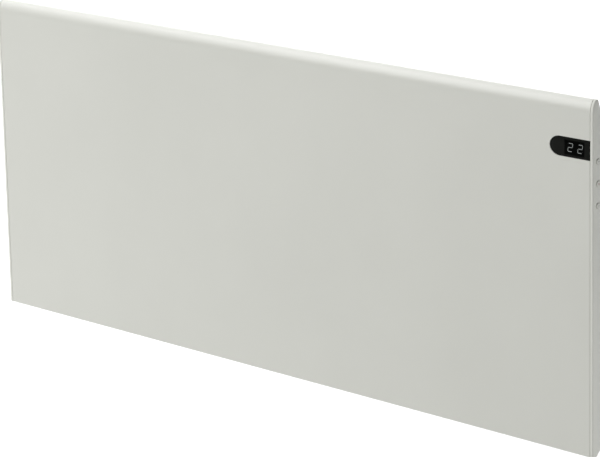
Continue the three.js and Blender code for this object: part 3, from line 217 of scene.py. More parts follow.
def galvanisedSheet():
    p = galvanised
    material, tree, shader, where = startMaterial("galvanisedSheet", Metallic=0.9)
    crystals = addNode(tree, "TexVoronoi", {"Vector": where}, {"Scale": 1000 / p["spangle"]})
    shade = addNode(tree, "SeparateColor", {"Color": crystals.outputs["Color"]})
    bloom = addNode(tree, "TexNoise", {"Vector": where},
                    {"Scale": p["bloomScale"], "Detail": 5.0, "Roughness": 0.6})
    both = addNode(tree, "Math", {0: shade, 1: bloom}, operation="ADD")
    level = addNode(tree, "Math", {0: both}, {1: 0.5}, operation="MULTIPLY")
    finish(tree, shader,
           colour=addNode(tree, "ValToRGB", {"Fac": level},
                          stops=[(0.2, p["dark"]), (0.5, p["mid"]), (0.8, p["light"])]),
           roughness=addNode(tree, "MapRange", {"Value": level},
                             {"To Min": p["roughness"] + 0.12, "To Max": p["roughness"] - 0.06}),
           normal=addNode(tree, "Bump", {"Height": level},
                          {"Distance": mm(p["depth"]), "Strength": 0.4}))
    return material


# Glass-epoxy board under green solder mask: copper tracks 2.5 mm apart show as lighter lines, and
# tinned pads as bright dots.
solderMask = dict(mask="#1C5A3A", track="#2E7550", pad="#C9C7BC", pitch=2.54, rows=4, padEvery=2,
                  padEdge=(0.10, 0.13), padHeight=0.05, padRoughness=0.3, roughness=0.35)


def maskedBoard():
    p = solderMask
    material, tree, shader, where = startMaterial("solderMaskedBoard", IOR=1.55)
    scaled = addNode(tree, "VectorMath", {0: where}, {1: (1, 0, 1)}, operation="MULTIPLY")
    flat = addNode(tree, "VectorRotate", {"Vector": scaled}, {"Angle": math.radians(90)},
                   rotation_type="X_AXIS")
    tracks = addNode(tree, "TexBrick", {"Vector": flat},
                     {"Scale": 1000 / p["pitch"] / p["rows"], "Mortar Size": 0.05,
                      "Color1": srgb(p["mask"]), "Color2": srgb(p["mask"]),
                      "Mortar": srgb(p["track"])})
    pads = addNode(tree, "TexVoronoi", {"Vector": flat},
                   {"Scale": 1000 / p["pitch"] / p["padEvery"], "Randomness": 0.35})
    inner, outer = p["padEdge"]
    dots = addNode(tree, "ValToRGB", {"Fac": pads}, stops=[(inner, "#FFFFFF"), (outer, "#000000")])
    board = addNode(tree, "MixRGB", {"Fac": dots, "Color1": tracks}, {"Color2": srgb(p["pad"])})
    finish(tree, shader, colour=board,
           roughness=addNode(tree, "MapRange", {"Value": pads},
                             {"To Min": p["padRoughness"], "To Max": p["roughness"]}),
           normal=addNode(tree, "Bump", {"Height": dots},
                          {"Distance": mm(p["padHeight"]), "Strength": 0.5}))
    return material


finishes = dict(
    panel_paint=powderCoatedSteel(),
    # ABS, moulded in a spark-eroded tool: an even fine grain, duller than the paint beside it
    cap_plastic=grainedMaterial("mouldedAbs", "#E6E7DF", "#E3E4DC", 0.8, 0.50, relief=0.012,
                                ior=1.54),
    zinc_sheet=galvanisedSheet(),
    # zinc plating, blue passivated, on a cold-headed screw: bright, cool, with dark rubs
    zinc_screw=grainedMaterial("zincPlatedSteel", "#CBD0D6", "#A1A8B0", 1.6, 0.28, metallic=1.0,
                               detail=3.0),
    # aluminised steel, rolled: a bright skin with rolling lines along the sheet
    shield_sheet=grainedMaterial("aluminisedSheet", "#C6C9CB", "#AEB2B5", 1.5, 0.34, metallic=1.0,
                                 stretch=(0.02, 1, 1)),
    # aluminium alloy, extruded: fine die lines run along the fins
    fin_alloy=grainedMaterial("extrudedAlloy", "#D0D2D3", "#B0B3B5", 0.9, 0.33, metallic=1.0,
                              stretch=(0.01, 1, 1), detail=3.0),
    # nickel-iron sheath, drawn and oxidised in service: brown-grey, with cloudy heat tints
    rod_steel=grainedMaterial("oxidisedSheath", "#8B8378", "#5E5650", 12.0, 0.45, metallic=1.0,
                              stretch=(0.4, 1, 1), detail=4.0),
    # steatite, pressed and fired unglazed: chalky cream with fine specks
    bush_ceramic=grainedMaterial("firedSteatite", "#EAE5D9", "#DDD6C6", 0.7, 0.65, relief=0.02,
                                 ior=1.55),
    lens_black=smokedAcrylicLens(),
    # cast epoxy face round the digits: dead black with a faint speckle
    led_face=grainedMaterial("castEpoxyFace", "#101110", "#0A0B0A", 0.6, 0.5, ior=1.55),
    # polyamide with glass fibre, moulded: matt black, greyed by fibres near the skin
    black_plastic=grainedMaterial("glassFilledNylon", "#2A2B2C", "#1C1D1E", 0.9, 0.52,
                                  relief=0.02, ior=1.53, stretch=(0.5, 1, 1), detail=4.0),
    # natural polyamide, moulded: waxy ivory
    clear_plastic=grainedMaterial("naturalNylon", "#E3E0D4", "#D8D4C5", 3.0, 0.42, ior=1.53),
    circuit_board=maskedBoard(),
    # vulcanised fibre, calendered: matt grey-green with a felted mottle
    insulation_sheet=grainedMaterial("vulcanisedFibre", "#98A392", "#848E7E", 1.4, 0.78,
                                     relief=0.02, stretch=(0.4, 1, 1), detail=5.0),
    # PBT relay case, moulded: dense blue, half gloss
    relay_case=grainedMaterial("mouldedPbt", "#2B4568", "#243B5B", 1.0, 0.38, ior=1.55),
    # film capacitor in a flame-retardant box: clean yellow, half gloss
    capacitor_case=grainedMaterial("capacitorBox", "#DCC644", "#CDB636", 1.0, 0.36, ior=1.55),
    # phenolic, hot pressed: brown-black with resin clouds
    phenolic=grainedMaterial("pressedPhenolic", "#332A26", "#231D1A", 2.5, 0.45, ior=1.6,
                             detail=4.0),
    # brass, turned: rings of the tool and a warm tarnish
    brass_stud=grainedMaterial("turnedBrass", "#D9BE7C", "#B29353", 0.8, 0.30, metallic=1.0,
                               stretch=(1, 3, 1)),
    # PVC insulation, extruded over the strands: satin, with a faint draw along the lead
    lead_brown=grainedMaterial("pvcBrown", "#6B4128", "#5C3722", 1.2, 0.45, ior=1.53),
    lead_blue=grainedMaterial("pvcBlue", "#2F63B4", "#2856A0", 1.2, 0.45, ior=1.53),
    lead_green=grainedMaterial("pvcGreenYellow", "#A8B83A", "#4C8A35", 6.0, 0.45, ior=1.53,
                               detail=0.0),
    # silicone insulation near the element, duller and softer than PVC
    lead_black=grainedMaterial("siliconeBlack", "#262626", "#1B1B1B", 1.2, 0.55, ior=1.45),
    # PVC again, on the thin signal leads
    lead_grey=grainedMaterial("pvcGrey", "#A3A3A0", "#949491", 1.2, 0.48, ior=1.53),
)
litStrokeFinish = litDiffuser()
# pad-printed marks on the buttons: flat grey ink, and a dull red for the power mark
markInk = grainedMaterial("padPrintedInk", "#8D8E88", "#83847E", 0.4, 0.6)
powerInk = grainedMaterial("padPrintedRed", "#B08078", "#A6766E", 0.4, 0.6)
print(len(finishes), "finishes mixed")


# Outlines, lists of two coordinates

def quadCurve(a, b, c, steps):
    return [tuple((1 - t) ** 2 * a[i] + 2 * t * (1 - t) * b[i] + t * t * c[i] for i in (0, 1))
            for t in (k / steps for k in range(steps + 1))]


def quarterTurn(steps):
    return [math.pi / 2 * k / steps for k in range(steps + 1)]


def arc(x, y, radius, start, end, steps, flat=1.0):
    turns = [math.radians(start + (end - start) * k / steps) for k in range(steps + 1)]
    return [(x + radius * flat * math.cos(t), y + radius * math.sin(t)) for t in turns]


def ring(x, y, radius, count=32):
    return arc(x, y, radius, 0, 360 - 360 / count, count - 1)


def box(left, right, low, high):
    return [(left, low), (right, low), (right, high), (left, high)]


def roundedBox(left, right, low, high, radius, steps=6):
    corners = ((right - radius, high - radius, 0), (left + radius, high - radius, 90),
               (left + radius, low + radius, 180), (right - radius, low + radius, 270))
    return [p for x, y, start in corners for p in arc(x, y, radius, start, start + 90, steps)]


def slotOutline(x, y, length, width, steps=8):
    reach = (length - width) / 2
    return (arc(x + reach, y, width / 2, -90, 90, steps)
            + arc(x - reach, y, width / 2, 90, 270, steps))


def inward(points, distance, closed=True):
    moved, count = [], len(points)
    for i, here in enumerate(points):
        before = points[i - 1] if closed or i else None
        after = points[(i + 1) % count] if closed or i < count - 1 else None
        first = Vector(here) - Vector(before) if before else Vector(after) - Vector(here)
        second = Vector(after) - Vector(here) if after else first
        one, two = (Vector((-d.y, d.x)).normalized() for d in (first, second))
        moved.append(tuple(Vector(here) + (one + two) * distance / (1 + one.dot(two))))
    return moved


def softened(points, radii, steps=5):
    outline, count = [], len(points)
    for i, (point, radius) in enumerate(zip(points, radii)):
        here = Vector(point)
        before, after = (here + (Vector(points[k]) - here).normalized() * radius
                         for k in (i - 1, (i + 1) % count))
        outline += quadCurve(before, here, after, steps) if radius else [tuple(point)]
    return outline


# A sheet seen on edge, thick on both sides of a bent line
def strip(path, sheet):
    return (inward(path, sheet / 2, closed=False)
            + inward(path, -sheet / 2, closed=False)[::-1])


def bentStrip(points, sheet, bend):
    return strip(softened(points, [0] + [bend] * (len(points) - 2) + [0]), sheet)


# Solids from outlines; the axis names the direction that they run along

towards = dict(x=lambda u, v, t: place(t, u, v), y=lambda u, v, t: place(u, t, v),
               z=lambda u, v, t: place(u, v, t))


def skin(work, rings, axis, closedEnds=True, closedLoop=False):
    loops = [[work.verts.new(towards[axis](u, v, t)) for u, v in outline] for outline, t in rings]
    pairs = list(zip(loops, loops[1:])) + ([(loops[-1], loops[0])] if closedLoop else [])
    for one, two in pairs:
        for i in range(len(one)):
            j = (i + 1) % len(one)
            work.faces.new((one[i], one[j], two[j], two[i]))
    if closedEnds and not closedLoop:
        work.faces.new(loops[0][::-1])
        work.faces.new(loops[-1])
    return loops


def prism(work, outline, low, high, axis, edge=0.0, steps=3):
    if not edge:
        skin(work, [(outline, low), (outline, high)], axis)
        return
    start = [(inward(outline, edge * (1 - math.sin(t))), low + edge * (1 - math.cos(t)))
             for t in quarterTurn(steps)]
    end = [(inward(outline, edge * (1 - math.cos(t))), high - edge * (1 - math.sin(t)))
           for t in quarterTurn(steps)]
    skin(work, start + end, axis)


def tube(work, outside, inside, low, high, axis):
    skin(work, [(outside, low), (outside, high), (inside, high), (inside, low)], axis,
         closedLoop=True)


def turned(work, profile, u, v, axis, sides=48):
    turns = [2 * math.pi * k / sides for k in range(sides)]
    skin(work, [([(u + r * math.cos(turn), v + r * math.sin(turn)) for turn in turns], t)
                for r, t in profile], axis)


# Finishing a piece: a mesh from the work, cuts, rounded edges, and smooth shading

def meshFrom(name, work):
    bmesh.ops.remove_doubles(work, verts=work.verts, dist=1e-7)
    bmesh.ops.recalc_face_normals(work, faces=work.faces)
    data = bpy.data.meshes.new(name)
    work.to_mesh(data)
    work.free()
    return data


def newPiece(name, work, material):
    piece = bpy.data.objects.new(name, meshFrom(name, work))
    bpy.context.scene.collection.objects.link(piece)
    piece.data.materials.append(material)
    return piece


def settle(piece):
    bpy.context.view_layer.update()
    graph = bpy.context.evaluated_depsgraph_get()
    shape = bpy.data.meshes.new_from_object(piece.evaluated_get(graph))
    piece.modifiers.clear()
    spent, piece.data = piece.data, shape
    bpy.data.meshes.remove(spent)
    shape.name = piece.name


def reshape(piece, work, operation="DIFFERENCE"):
    tool = bpy.data.objects.new("cuttingTool", meshFrom("cuttingTool", work))
    bpy.context.scene.collection.objects.link(tool)
    change = piece.modifiers.new("change", "BOOLEAN")
    change.object, change.operation, change.solver = tool, operation, "MANIFOLD"
    settle(piece)
    bpy.data.meshes.remove(tool.data)
    return piece


def mirror(piece):
    piece.data.transform(Matrix.Scale(-1, 4, Vector((1, 0, 0))))
    piece.data.flip_normals()


def dress(piece, body, replaced, edge=0.15, angle=35, segments=2):
    piece.data.shade_smooth()
    piece.data.set_sharp_from_angle(angle=math.radians(angle))
    if edge:
        rounding = piece.modifiers.new("rounding", "BEVEL")
        rounding.width, rounding.segments = mm(edge), segments
        rounding.limit_method, rounding.angle_limit = "ANGLE", math.radians(angle)
        rounding.harden_normals, rounding.use_clamp_overlap = True, True
        settle(piece)
    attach(piece, body)
    if replaced:
        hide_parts(replaced)


# Shell: one sheet rolled back over a rounded shoulder and folded in below
shell = dict(sheetEnd=454.4, shoulderDrop=16.0, noseDepth=7.0, noseEnd=9.2, noseDrop=2.6,
             flankSlope=2.95, flankBlend=1.1, lowerEdge=1.5, lowerFlat=6.3, chamferSlope=1.1,
             chamferBlend=1.2, returnLip=8.0)


def chamferAt(depth):
    return (depth - shell["lowerFlat"]) * shell["chamferSlope"]


def flankFoot():
    s = shell
    flankEnd = heater["depth"] - s["flankBlend"]
    drop = (flankEnd - s["noseEnd"] + 2 * s["flankBlend"]) * s["flankSlope"]
    return heater["height"] - s["noseDrop"] - drop


def chamferTop():
    return chamferAt(heater["depth"] + shell["chamferBlend"])


def shellSection(shoulderSteps=20):
    s, top, back, foot = shell, heater["height"], heater["depth"], flankFoot()
    rise, blend, flat = s["flankBlend"] * s["flankSlope"], s["chamferBlend"], s["lowerFlat"]
    shoulder = [(s["noseDepth"] + x, top - s["shoulderDrop"] + z) for x, z in
                arc(0, 0, s["shoulderDrop"], 90, 180, shoulderSteps,
                    s["noseDepth"] / s["shoulderDrop"])]
    return (quadCurve((back, foot), (back, foot + rise),
                      (back - s["flankBlend"], foot + 2 * rise), 6)
            + quadCurve((s["noseEnd"], top - s["noseDrop"]),
                        (s["noseEnd"] - s["noseDrop"] / s["flankSlope"], top),
                        (s["noseDepth"], top), 8)[:-1]
            + shoulder
            + quadCurve((0, s["lowerEdge"]), (0, 0), (s["lowerEdge"], 0), 6)
            + quadCurve((flat - blend, 0), (flat, 0), (flat + blend, chamferAt(flat + blend)), 5)
            + quadCurve((back - blend, chamferAt(back - blend)), (back, chamferAt(back)),
                        (back, chamferTop()), 5))


# Display: a black window with a rounded left end, let into the sheet beside the right cap
display = dict(length=52.0, height=19.8, tip=13.0, middle=318.5, recess=0.1, front=1.2, back=2.6,
               rim=2.0, overlap=0.4)


def displayOutline(margin, rightEnd, steps=24):
    d = display
    half, tipStart = d["height"] / 2 + margin, shell["sheetEnd"] - d["length"] + d["tip"]
    tip = [(tipStart + x, d["middle"] + z) for x, z in
           arc(0, 0, half, 90, 270, steps, (d["tip"] + margin) / half)]
    return [(rightEnd, d["middle"] - half), (rightEnd, d["middle"] + half)] + tip


def frontPanel():
    back, lip, end = heater["depth"], shell["returnLip"], shell["sheetEnd"]
    section = [(back, flankFoot() - lip)] + shellSection() + [(back, chamferTop() + lip)]
    sheet = section + inward(section, heater["sheet"], closed=False)[::-1]
    work, notch = bmesh.new(), bmesh.new()
    prism(work, sheet, -end, end, "x")
    prism(notch, displayOutline(heater["fit"], end + past), -past, heater["sheet"] + past, "y")
    piece = reshape(newPiece("frontPanel", work, finishes["panel_paint"]), notch)
    dress(piece, "heater", "front_panel", edge=0.12)


def displayLens():
    d, end = display, shell["sheetEnd"]
    work, rim = bmesh.new(), bmesh.new()
    prism(work, displayOutline(0, end), d["recess"], d["front"] + d["overlap"], "y", edge=0.25)
    prism(rim, displayOutline(d["rim"], end), heater["sheet"] + heater["fit"], d["back"], "y")
    piece = reshape(newPiece("displayLens", work, finishes["lens_black"]), rim, "UNION")
    dress(piece, "heater", "display_lens", edge=0)


# Two digits of seven strokes, shining through the lens
digits = dict(height=8.3, width=5.4, stroke=0.75, gap=0.15, slant=8.0, places=(429.0, 441.8),
              lit="22", proud=0.03, depth=0.2)
strokesLit = {"0": "ABCDEF", "1": "BC", "2": "ABGED", "3": "ABGCD", "4": "FGBC", "5": "AFGCD",
              "6": "AFGECD", "7": "ABC", "8": "ABCDEFG", "9": "ABCDFG"}


def strokeOutline(kind):
    w, h, s, g = digits["width"] / 2, digits["height"] / 2, digits["stroke"] / 2, digits["gap"]
    flat = lambda z: [(-w + g, z), (-w + g + s, z - s), (w - g - s, z - s), (w - g, z),
                      (w - g - s, z + s), (-w + g + s, z + s)]
    upright = lambda x, low, high: [(x, low + g), (x + s, low + g + s), (x + s, high - g - s),
                                    (x, high - g), (x - s, high - g - s), (x - s, low + g + s)]
    return dict(A=flat(h), B=upright(w, 0, h), C=upright(w, -h, 0), D=flat(-h),
                E=upright(-w, -h, 0), F=upright(-w, 0, h), G=flat(0))[kind]


def litDigits():
    d, lean, face = digits, math.tan(math.radians(digits["slant"])), display["recess"]
    work = bmesh.new()
    for digit, x in zip(d["lit"], d["places"]):
        for kind in strokesLit[digit]:
            leaning = [(x + u + v * lean, display["middle"] + v) for u, v in strokeOutline(kind)]
            prism(work, leaning, face - d["proud"], face + d["depth"], "y")
    dress(newPiece("litDigits", work, litStrokeFinish), "heater", None, edge=0)


# End caps: wall outside the sheet, collar inside it, screw tongues, and on the right what holds
# the switches
cap = dict(inner=455.0, outer=458.5, edge=0.9, collarStart=444.7, collarWall=1.8,
           tongueLength=14.0, tongueHeight=9.0, tongueBack=12.3, front=2.0, corner=0.8,
           screwX=437.4, screwZ=(22.34, 336.52), pilot=1.75, pilotDepth=(4.6, 12.7), postX=436.0,
           postZ=(295.75, 273.25), postHalf=3.5, postBack=9.5, pinX=439.5, pinBack=11.4,
           pinRadius=1.2)
buttons = dict(depth=8.2, heights=(307.0, 284.5, 262.0), names=("upper", "middle", "lower"),
               radius=2.9, hole=3.2, holeEdge=0.25, rim=3.6, pocket=3.9, rimThickness=1.4,
               proud=0.8, round=0.5, dish=0.12, stem=1.5, stemLength=2.3, stemTip=0.3,
               stemEdge=0.3)
marks = dict(line=0.17, barHalf=1.2, plusAway=0.72, plusHalf=0.5, powerHalf=0.75,
             powerRing=(1.25, 0.9), powerOpen=(125, 415), powerDrop=0.1, powerProud=0.06,
             sunk=0.1, proud=0.03)


def capWall(work, section):
    c = cap
    rings = [(inward(section, c["edge"] * (1 - math.cos(t))),
              c["outer"] - c["edge"] * (1 - math.sin(t))) for t in quarterTurn(5)]
    skin(work, [(section, c["inner"])] + rings, "x")


def endCap(side):
    c, b, d, right = cap, buttons, display, side > 0
    start, inner, front, corner = c["collarStart"], c["inner"], c["front"], c["corner"]
    section, seat = shellSection(), heater["sheet"] + heater["fit"]
    work, collar, inside, pins, holes = (bmesh.new() for _ in range(5))
    capWall(work, section)
    tube(collar, inward(section, seat), inward(section, seat + c["collarWall"]), start,
         inner + past, "x")
    half = c["tongueHeight"] / 2
    for z in c["screwZ"]:
        prism(inside, roundedBox(front, c["tongueBack"], z - half, z + half, corner, 3),
              start - c["tongueLength"], inner + past, "x")
        prism(holes, ring(c["screwX"], z, c["pilot"], 20), *c["pilotDepth"], "y")
    piece = newPiece("endCap" + ("Right" if right else "Left"), work, finishes["cap_plastic"])
    reshape(piece, collar, "UNION")
    if right:
        half = c["postHalf"]
        for z in c["postZ"]:
            prism(inside, roundedBox(front, c["postBack"], z - half, z + half, corner, 3),
                  c["postX"], inner + past, "x")
            prism(pins, ring(c["pinX"], z, c["pinRadius"], 20), c["postBack"] - past,
                  c["pinBack"], "y", edge=0.3)
    reshape(piece, inside, "UNION")
    if right:
        reshape(piece, pins, "UNION")
        for z in b["heights"]:
            turned(holes, [(b["pocket"], start - past), (b["pocket"], inner), (b["hole"], inner),
                           (b["hole"], c["outer"] - b["holeEdge"]),
                           (b["hole"] + 2 * b["holeEdge"], c["outer"] + b["holeEdge"])],
                   b["depth"], z, "x")
        half = d["height"] / 2 + d["rim"] + heater["fit"]
        prism(holes, box(start - past, inner, d["middle"] - half, d["middle"] + half), -past,
              d["back"] + 2 * heater["fit"], "y")
    reshape(piece, holes)
    if not right:
        mirror(piece)
    dress(piece, "heater", "end_cap_right" if right else "end_cap_left")


def buttonMark(name, z, level):
    m, at, line = marks, buttons["depth"], marks["line"]
    minus, power = (z, m["barHalf"], line), (z + m["powerHalf"], line, m["powerHalf"])
    plus = [(z + away, line, m["plusHalf"]) for away in (m["plusAway"], -m["plusAway"])]
    work = bmesh.new()
    if name == "middle":
        outer, inner = (arc(at, z - m["powerDrop"], r, *m["powerOpen"], 28)
                        for r in m["powerRing"])
        prism(work, outer + inner[::-1], level - m["sunk"], level + m["powerProud"], "x")
    for middle, w, h in dict(upper=[minus] + plus, middle=[power], lower=[minus])[name]:
        prism(work, box(at - w, at + w, middle - h, middle + h), level - m["sunk"],
              level + m["proud"], "x")
    dress(newPiece("mark" + name.capitalize(), work, powerInk if name == "middle" else markInk),
          "button_" + name, None, edge=0)


def pushButton(name, z):
    b, c = buttons, cap
    face, back = c["outer"] + b["proud"], c["inner"] - heater["fit"] - b["rimThickness"]
    front, stemBack = back + b["rimThickness"], back - b["stemLength"]
    rounded = [(b["radius"] - b["round"] * (1 - math.cos(t)),
                face - b["round"] * (1 - math.sin(t))) for t in quarterTurn(9)]
    dish = [((b["radius"] - b["round"]) * k / 6, face - b["dish"] * (1 - (k / 6) ** 2))
            for k in (5, 4, 3, 2, 1)]
    profile = [(b["stemTip"], stemBack), (b["stem"], stemBack + b["stemEdge"]), (b["stem"], back),
               (b["rim"], back), (b["rim"], front), (b["radius"], front)] + rounded + dish
    work = bmesh.new()
    turned(work, profile, b["depth"], z, "x")
    piece = newPiece("button" + name.capitalize(), work, finishes["cap_plastic"])
    dress(piece, "button_" + name, "button_" + name, edge=0)
    buttonMark(name, z, face - b["dish"])


frontPanel()
displayLens()
litDigits()
endCap(-1)
endCap(1)
for name, z in zip(buttons["names"], buttons["heights"]):
    pushButton(name, z)
print("front, caps, display and buttons built")


# Rear pan: pressed from one sheet, drafted walls, rows of slots above and below
pan = dict(half=416.0, low=20.84, high=338.02, draft=5.0, corner=12.0, rearBend=3.0,
           flangeBend=1.8, flangeEnd=444.4, flangeCorner=4.0, beadHalf=150.0,
           beadZ=(166.7, 223.8), beadWidth=16.0, beadHeight=1.4, beadSide=2.2, beadRoot=0.3,
           slotLength=40.0, slotWidth=5.5, slotPitch=48.0, slotColumns=14, slotMiddle=-55.5,
           slotDepths=(24.1, 35.1, 46.1), slotReach=7.0)
hanging = dict(armX=210.0, catchX=224.0, catchZ=291.0, hookSeat=82.0, hookSlot=(3.5, 30.0),
               hookCorner=0.8, catchSlot=(17.0, 7.5), gland=(384.0, 55.84), glandHole=8.3)


def panOutline(depth, margin, corner):
    p, front = pan, heater["flangeFront"]
    taper = p["draft"] * (depth - front) / (heater["panBack"] - front) - margin
    return roundedBox(-p["half"] + taper, p["half"] - taper, p["low"] + taper,
                      p["high"] - taper, corner, 8)


def panRings():
    p, h, half = pan, heater, heater["sheet"] / 2
    flangeMid, backMid = h["flangeBack"] - half, h["panBack"] - half
    rings = [(roundedBox(-p["flangeEnd"], p["flangeEnd"], chamferTop() + h["fit"],
                         flankFoot() - h["fit"], p["flangeCorner"], 8), flangeMid)]
    for turn in quarterTurn(6):
        margin = p["flangeBend"] * (1 - math.sin(turn)) - half
        rings.append((panOutline(flangeMid, margin, p["corner"]),
                      flangeMid + p["flangeBend"] * (1 - math.cos(turn))))
    for turn in quarterTurn(6):
        depth = backMid - p["rearBend"] * (1 - math.sin(turn))
        inset = p["rearBend"] * (1 - math.cos(turn))
        rings.append((panOutline(depth, -half - inset, p["corner"] - inset), depth))
    return rings


def panBeads():
    p, back, work = pan, heater["panBack"], bmesh.new()
    for z in p["beadZ"]:
        rings = []
        for t in (0, 0.25, 0.5, 0.75, 1):
            less = 2 * p["beadSide"] * t
            rings.append((slotOutline(0, z, 2 * p["beadHalf"] - less, p["beadWidth"] - less),
                          back + p["beadHeight"] * math.sin(math.pi / 2 * t)))
        skin(work, [(rings[0][0], back - p["beadRoot"])] + rings, "y")
    return work


def panOpenings():
    p, h, g, work = pan, heater, hanging, bmesh.new()
    through, (width, height) = (h["panBack"] - 3 * past, h["panBack"] + 3 * past), g["hookSlot"]
    for column in range(p["slotColumns"]):
        x = p["slotMiddle"] + (column - (p["slotColumns"] - 1) / 2) * p["slotPitch"]
        for depth in p["slotDepths"]:
            outline = slotOutline(x, depth, p["slotLength"], p["slotWidth"], 6)
            prism(work, outline, p["low"] - past, p["low"] + p["slotReach"], "z")
            prism(work, outline, p["high"] - p["slotReach"], p["high"] + past, "z")
    for side in (-1, 1):
        x = side * g["armX"]
        prism(work, roundedBox(x - width / 2, x + width / 2, g["hookSeat"] - height,
                               g["hookSeat"] + h["fit"], g["hookCorner"]), *through, "y")
        prism(work, slotOutline(side * g["catchX"], g["catchZ"], *g["catchSlot"]), *through, "y")
        for z in cap["screwZ"]:
            prism(work, ring(side * cap["screwX"], z, cap["pilot"], 24),
                  h["flangeFront"] - 2 * past, h["flangeBack"] + 2 * past, "y")
    prism(work, ring(*g["gland"], g["glandHole"], 40), *through, "y")
    return work


def rearPan():
    work = bmesh.new()
    last = skin(work, panRings(), "y", closedEnds=False)[-1]
    lowerLeft = len(last) // 2  # the flat back is listed from this corner
    work.faces.new(last[lowerLeft:] + last[:lowerLeft])
    piece = newPiece("rearPan", work, finishes["zinc_sheet"])
    wall = piece.modifiers.new("sheet", "SOLIDIFY")
    wall.thickness, wall.offset, wall.use_even_offset = mm(heater["sheet"]), 0, True
    settle(piece)
    reshape(piece, panBeads(), "UNION")
    reshape(piece, panOpenings())
    dress(piece, "heater", "rear_pan", edge=0.12, segments=1)


# Casing screws: pan heads with a cross recess
screws = dict(radius=1.45, length=8.0, tip=0.1, point=1.0, turns=9, pitch=0.66, root=0.78,
              head=3.0, headThickness=1.9, headEdge=(0.1, 0.15), rim=0.5, domePower=0.55,
              crown=0.3, recess=1.5, recessWidth=0.55, recessDepth=1.1, recessRise=0.3,
              recessTaper=(0.45, 1.15))


def casingScrew(name, x, z):
    s, seat = screws, heater["flangeBack"] + heater["fit"]
    top, tip, thread = seat + s["headThickness"], seat - s["length"] + heater["sheet"], []
    for k in range(s["turns"]):
        low = tip + s["point"] + s["pitch"] * k
        thread += [(s["radius"] * s["root"], low), (s["radius"], low + s["pitch"] / 2)]
    under, side = s["headEdge"]
    dome = [(s["head"] * math.cos(t) ** s["domePower"],
             seat + s["rim"] + (s["headThickness"] - s["rim"]) * math.sin(t))
            for t in (math.radians(12 * k) for k in range(7))]
    profile = ([(s["tip"], tip)] + thread
               + [(s["radius"], seat), (s["head"] - under, seat), (s["head"], seat + side)]
               + dome + [(s["crown"], top)])
    work, cross = bmesh.new(), bmesh.new()
    turned(work, profile, x, z, "y", 32)
    w, r = s["recessWidth"] / 2, s["recess"]
    plus = [(r, -w), (r, w), (w, w), (w, r), (-w, r), (-w, w), (-r, w), (-r, -w), (-w, -w),
            (-w, -r), (w, -r), (w, -w)]
    foot, mouth = ([(x + u * size, z + v * size) for u, v in plus] for size in s["recessTaper"])
    skin(cross, [(foot, top - s["recessDepth"]), (mouth, top + s["recessRise"])], "y")
    return reshape(newPiece(name, work, finishes["zinc_screw"]), cross)


def casingScrews():
    for side, word in ((-1, "left"), (1, "right")):
        for z, level in zip(cap["screwZ"], ("lower", "upper")):
            name = "casingScrew" + word.capitalize() + level.capitalize()
            piece = casingScrew(name, side * cap["screwX"], z)
            dress(piece, "heater", f"casing_screw_{word}_{level}", edge=0.05)


# Cable gland: threaded barrel through the pan, domed head with grip flutes
gland = dict(bore=4.0, thread=8.0, threadStart=0.4, threadDepth=0.7, tipDepth=0.8, turns=7,
             pitch=1.5, barrel=12.0, head=12.0, headLength=6.0, edge=0.3, shoulder=3.6,
             shoulderEdge=(0.5, 0.4), dome=(3.6, 3.0), flutes=18, fluteDepth=0.45)


def cableGland():
    g, (x, z), head = gland, hanging["gland"], heater["panBack"] + heater["fit"]
    end, shoulder, top = head - g["barrel"], head + g["shoulder"], head + g["headLength"]
    bore, thread, wide, edge = g["bore"], g["thread"], g["head"], g["edge"]
    (inset, drop), (domeFoot, domeTop) = g["shoulderEdge"], g["dome"]
    profile = [(bore, end), (thread - g["tipDepth"], end)]
    for k in range(g["turns"]):
        start = end + g["threadStart"] + g["pitch"] * k
        profile += [(thread - g["threadDepth"], start), (thread, start + g["pitch"] / 2)]
    profile += [(thread, head), (wide - edge, head), (wide, head + edge), (wide, shoulder - drop),
                (wide - inset, shoulder), (bore + domeFoot, top - edge), (bore + domeTop, top),
                (bore + edge, top), (bore, top - edge)]
    work, rings, sides = bmesh.new(), [], g["flutes"] * 6
    for radius, depth in profile:
        outline = []
        for turn in (2 * math.pi * k / sides for k in range(sides)):
            flute = max(0.0, math.cos(g["flutes"] * turn)) ** 2 if radius == wide else 0.0
            reach = radius - g["fluteDepth"] * flute
            outline.append((x + reach * math.cos(turn), z + reach * math.sin(turn)))
        rings.append((outline, depth))
    skin(work, rings, "y", closedLoop=True)
    piece = newPiece("cableGland", work, finishes["black_plastic"])
    dress(piece, "heater", "cable_gland", edge=0)


# Wall bracket: two rails welded to two arms, each arm folded from one blank with its hook and ear
bracket = dict(sheet=1.5, bend=2.4, armWidth=28.0, top=306.0, bottom=48.0, corner=4.0,
               earFront=58.0, earHeight=30.0, earFold=10.0, rails=(270.0, 80.0), railHeight=26.0,
               railLip=8.0, overlap=3.0, lipEnd=2.0, foot=((54.0, 67.4), (84.5, 57.0)),
               hookFront=45.9, hookThroat=53.6, hookTip=4.0, hookRise=10.0, hookLap=1.0,
               hookRoot=1.7, hookSlope=0.6, hookRounds=(0, 0, 0.8, 1.8, 1.8, 3.0, 2.0),
               hole=2.6, holeSpread=80.0, armHole=177.0, catchHole=2.8)


def hookOutline():
    b, seat, root = bracket, hanging["hookSeat"], bracket["foot"][0][1] - bracket["hookRoot"]
    ear, tip, nose = b["earFront"] + b["sheet"] / 2, seat + b["hookRise"], b["hookFront"]
    return softened([(ear, root), (ear + b["hookLap"], seat), (b["hookThroat"], seat),
                     (nose + b["hookTip"], tip), (nose, tip), (nose, seat - b["hookRise"]),
                     (b["earFront"] - b["hookLap"], root + b["hookSlope"])], b["hookRounds"])


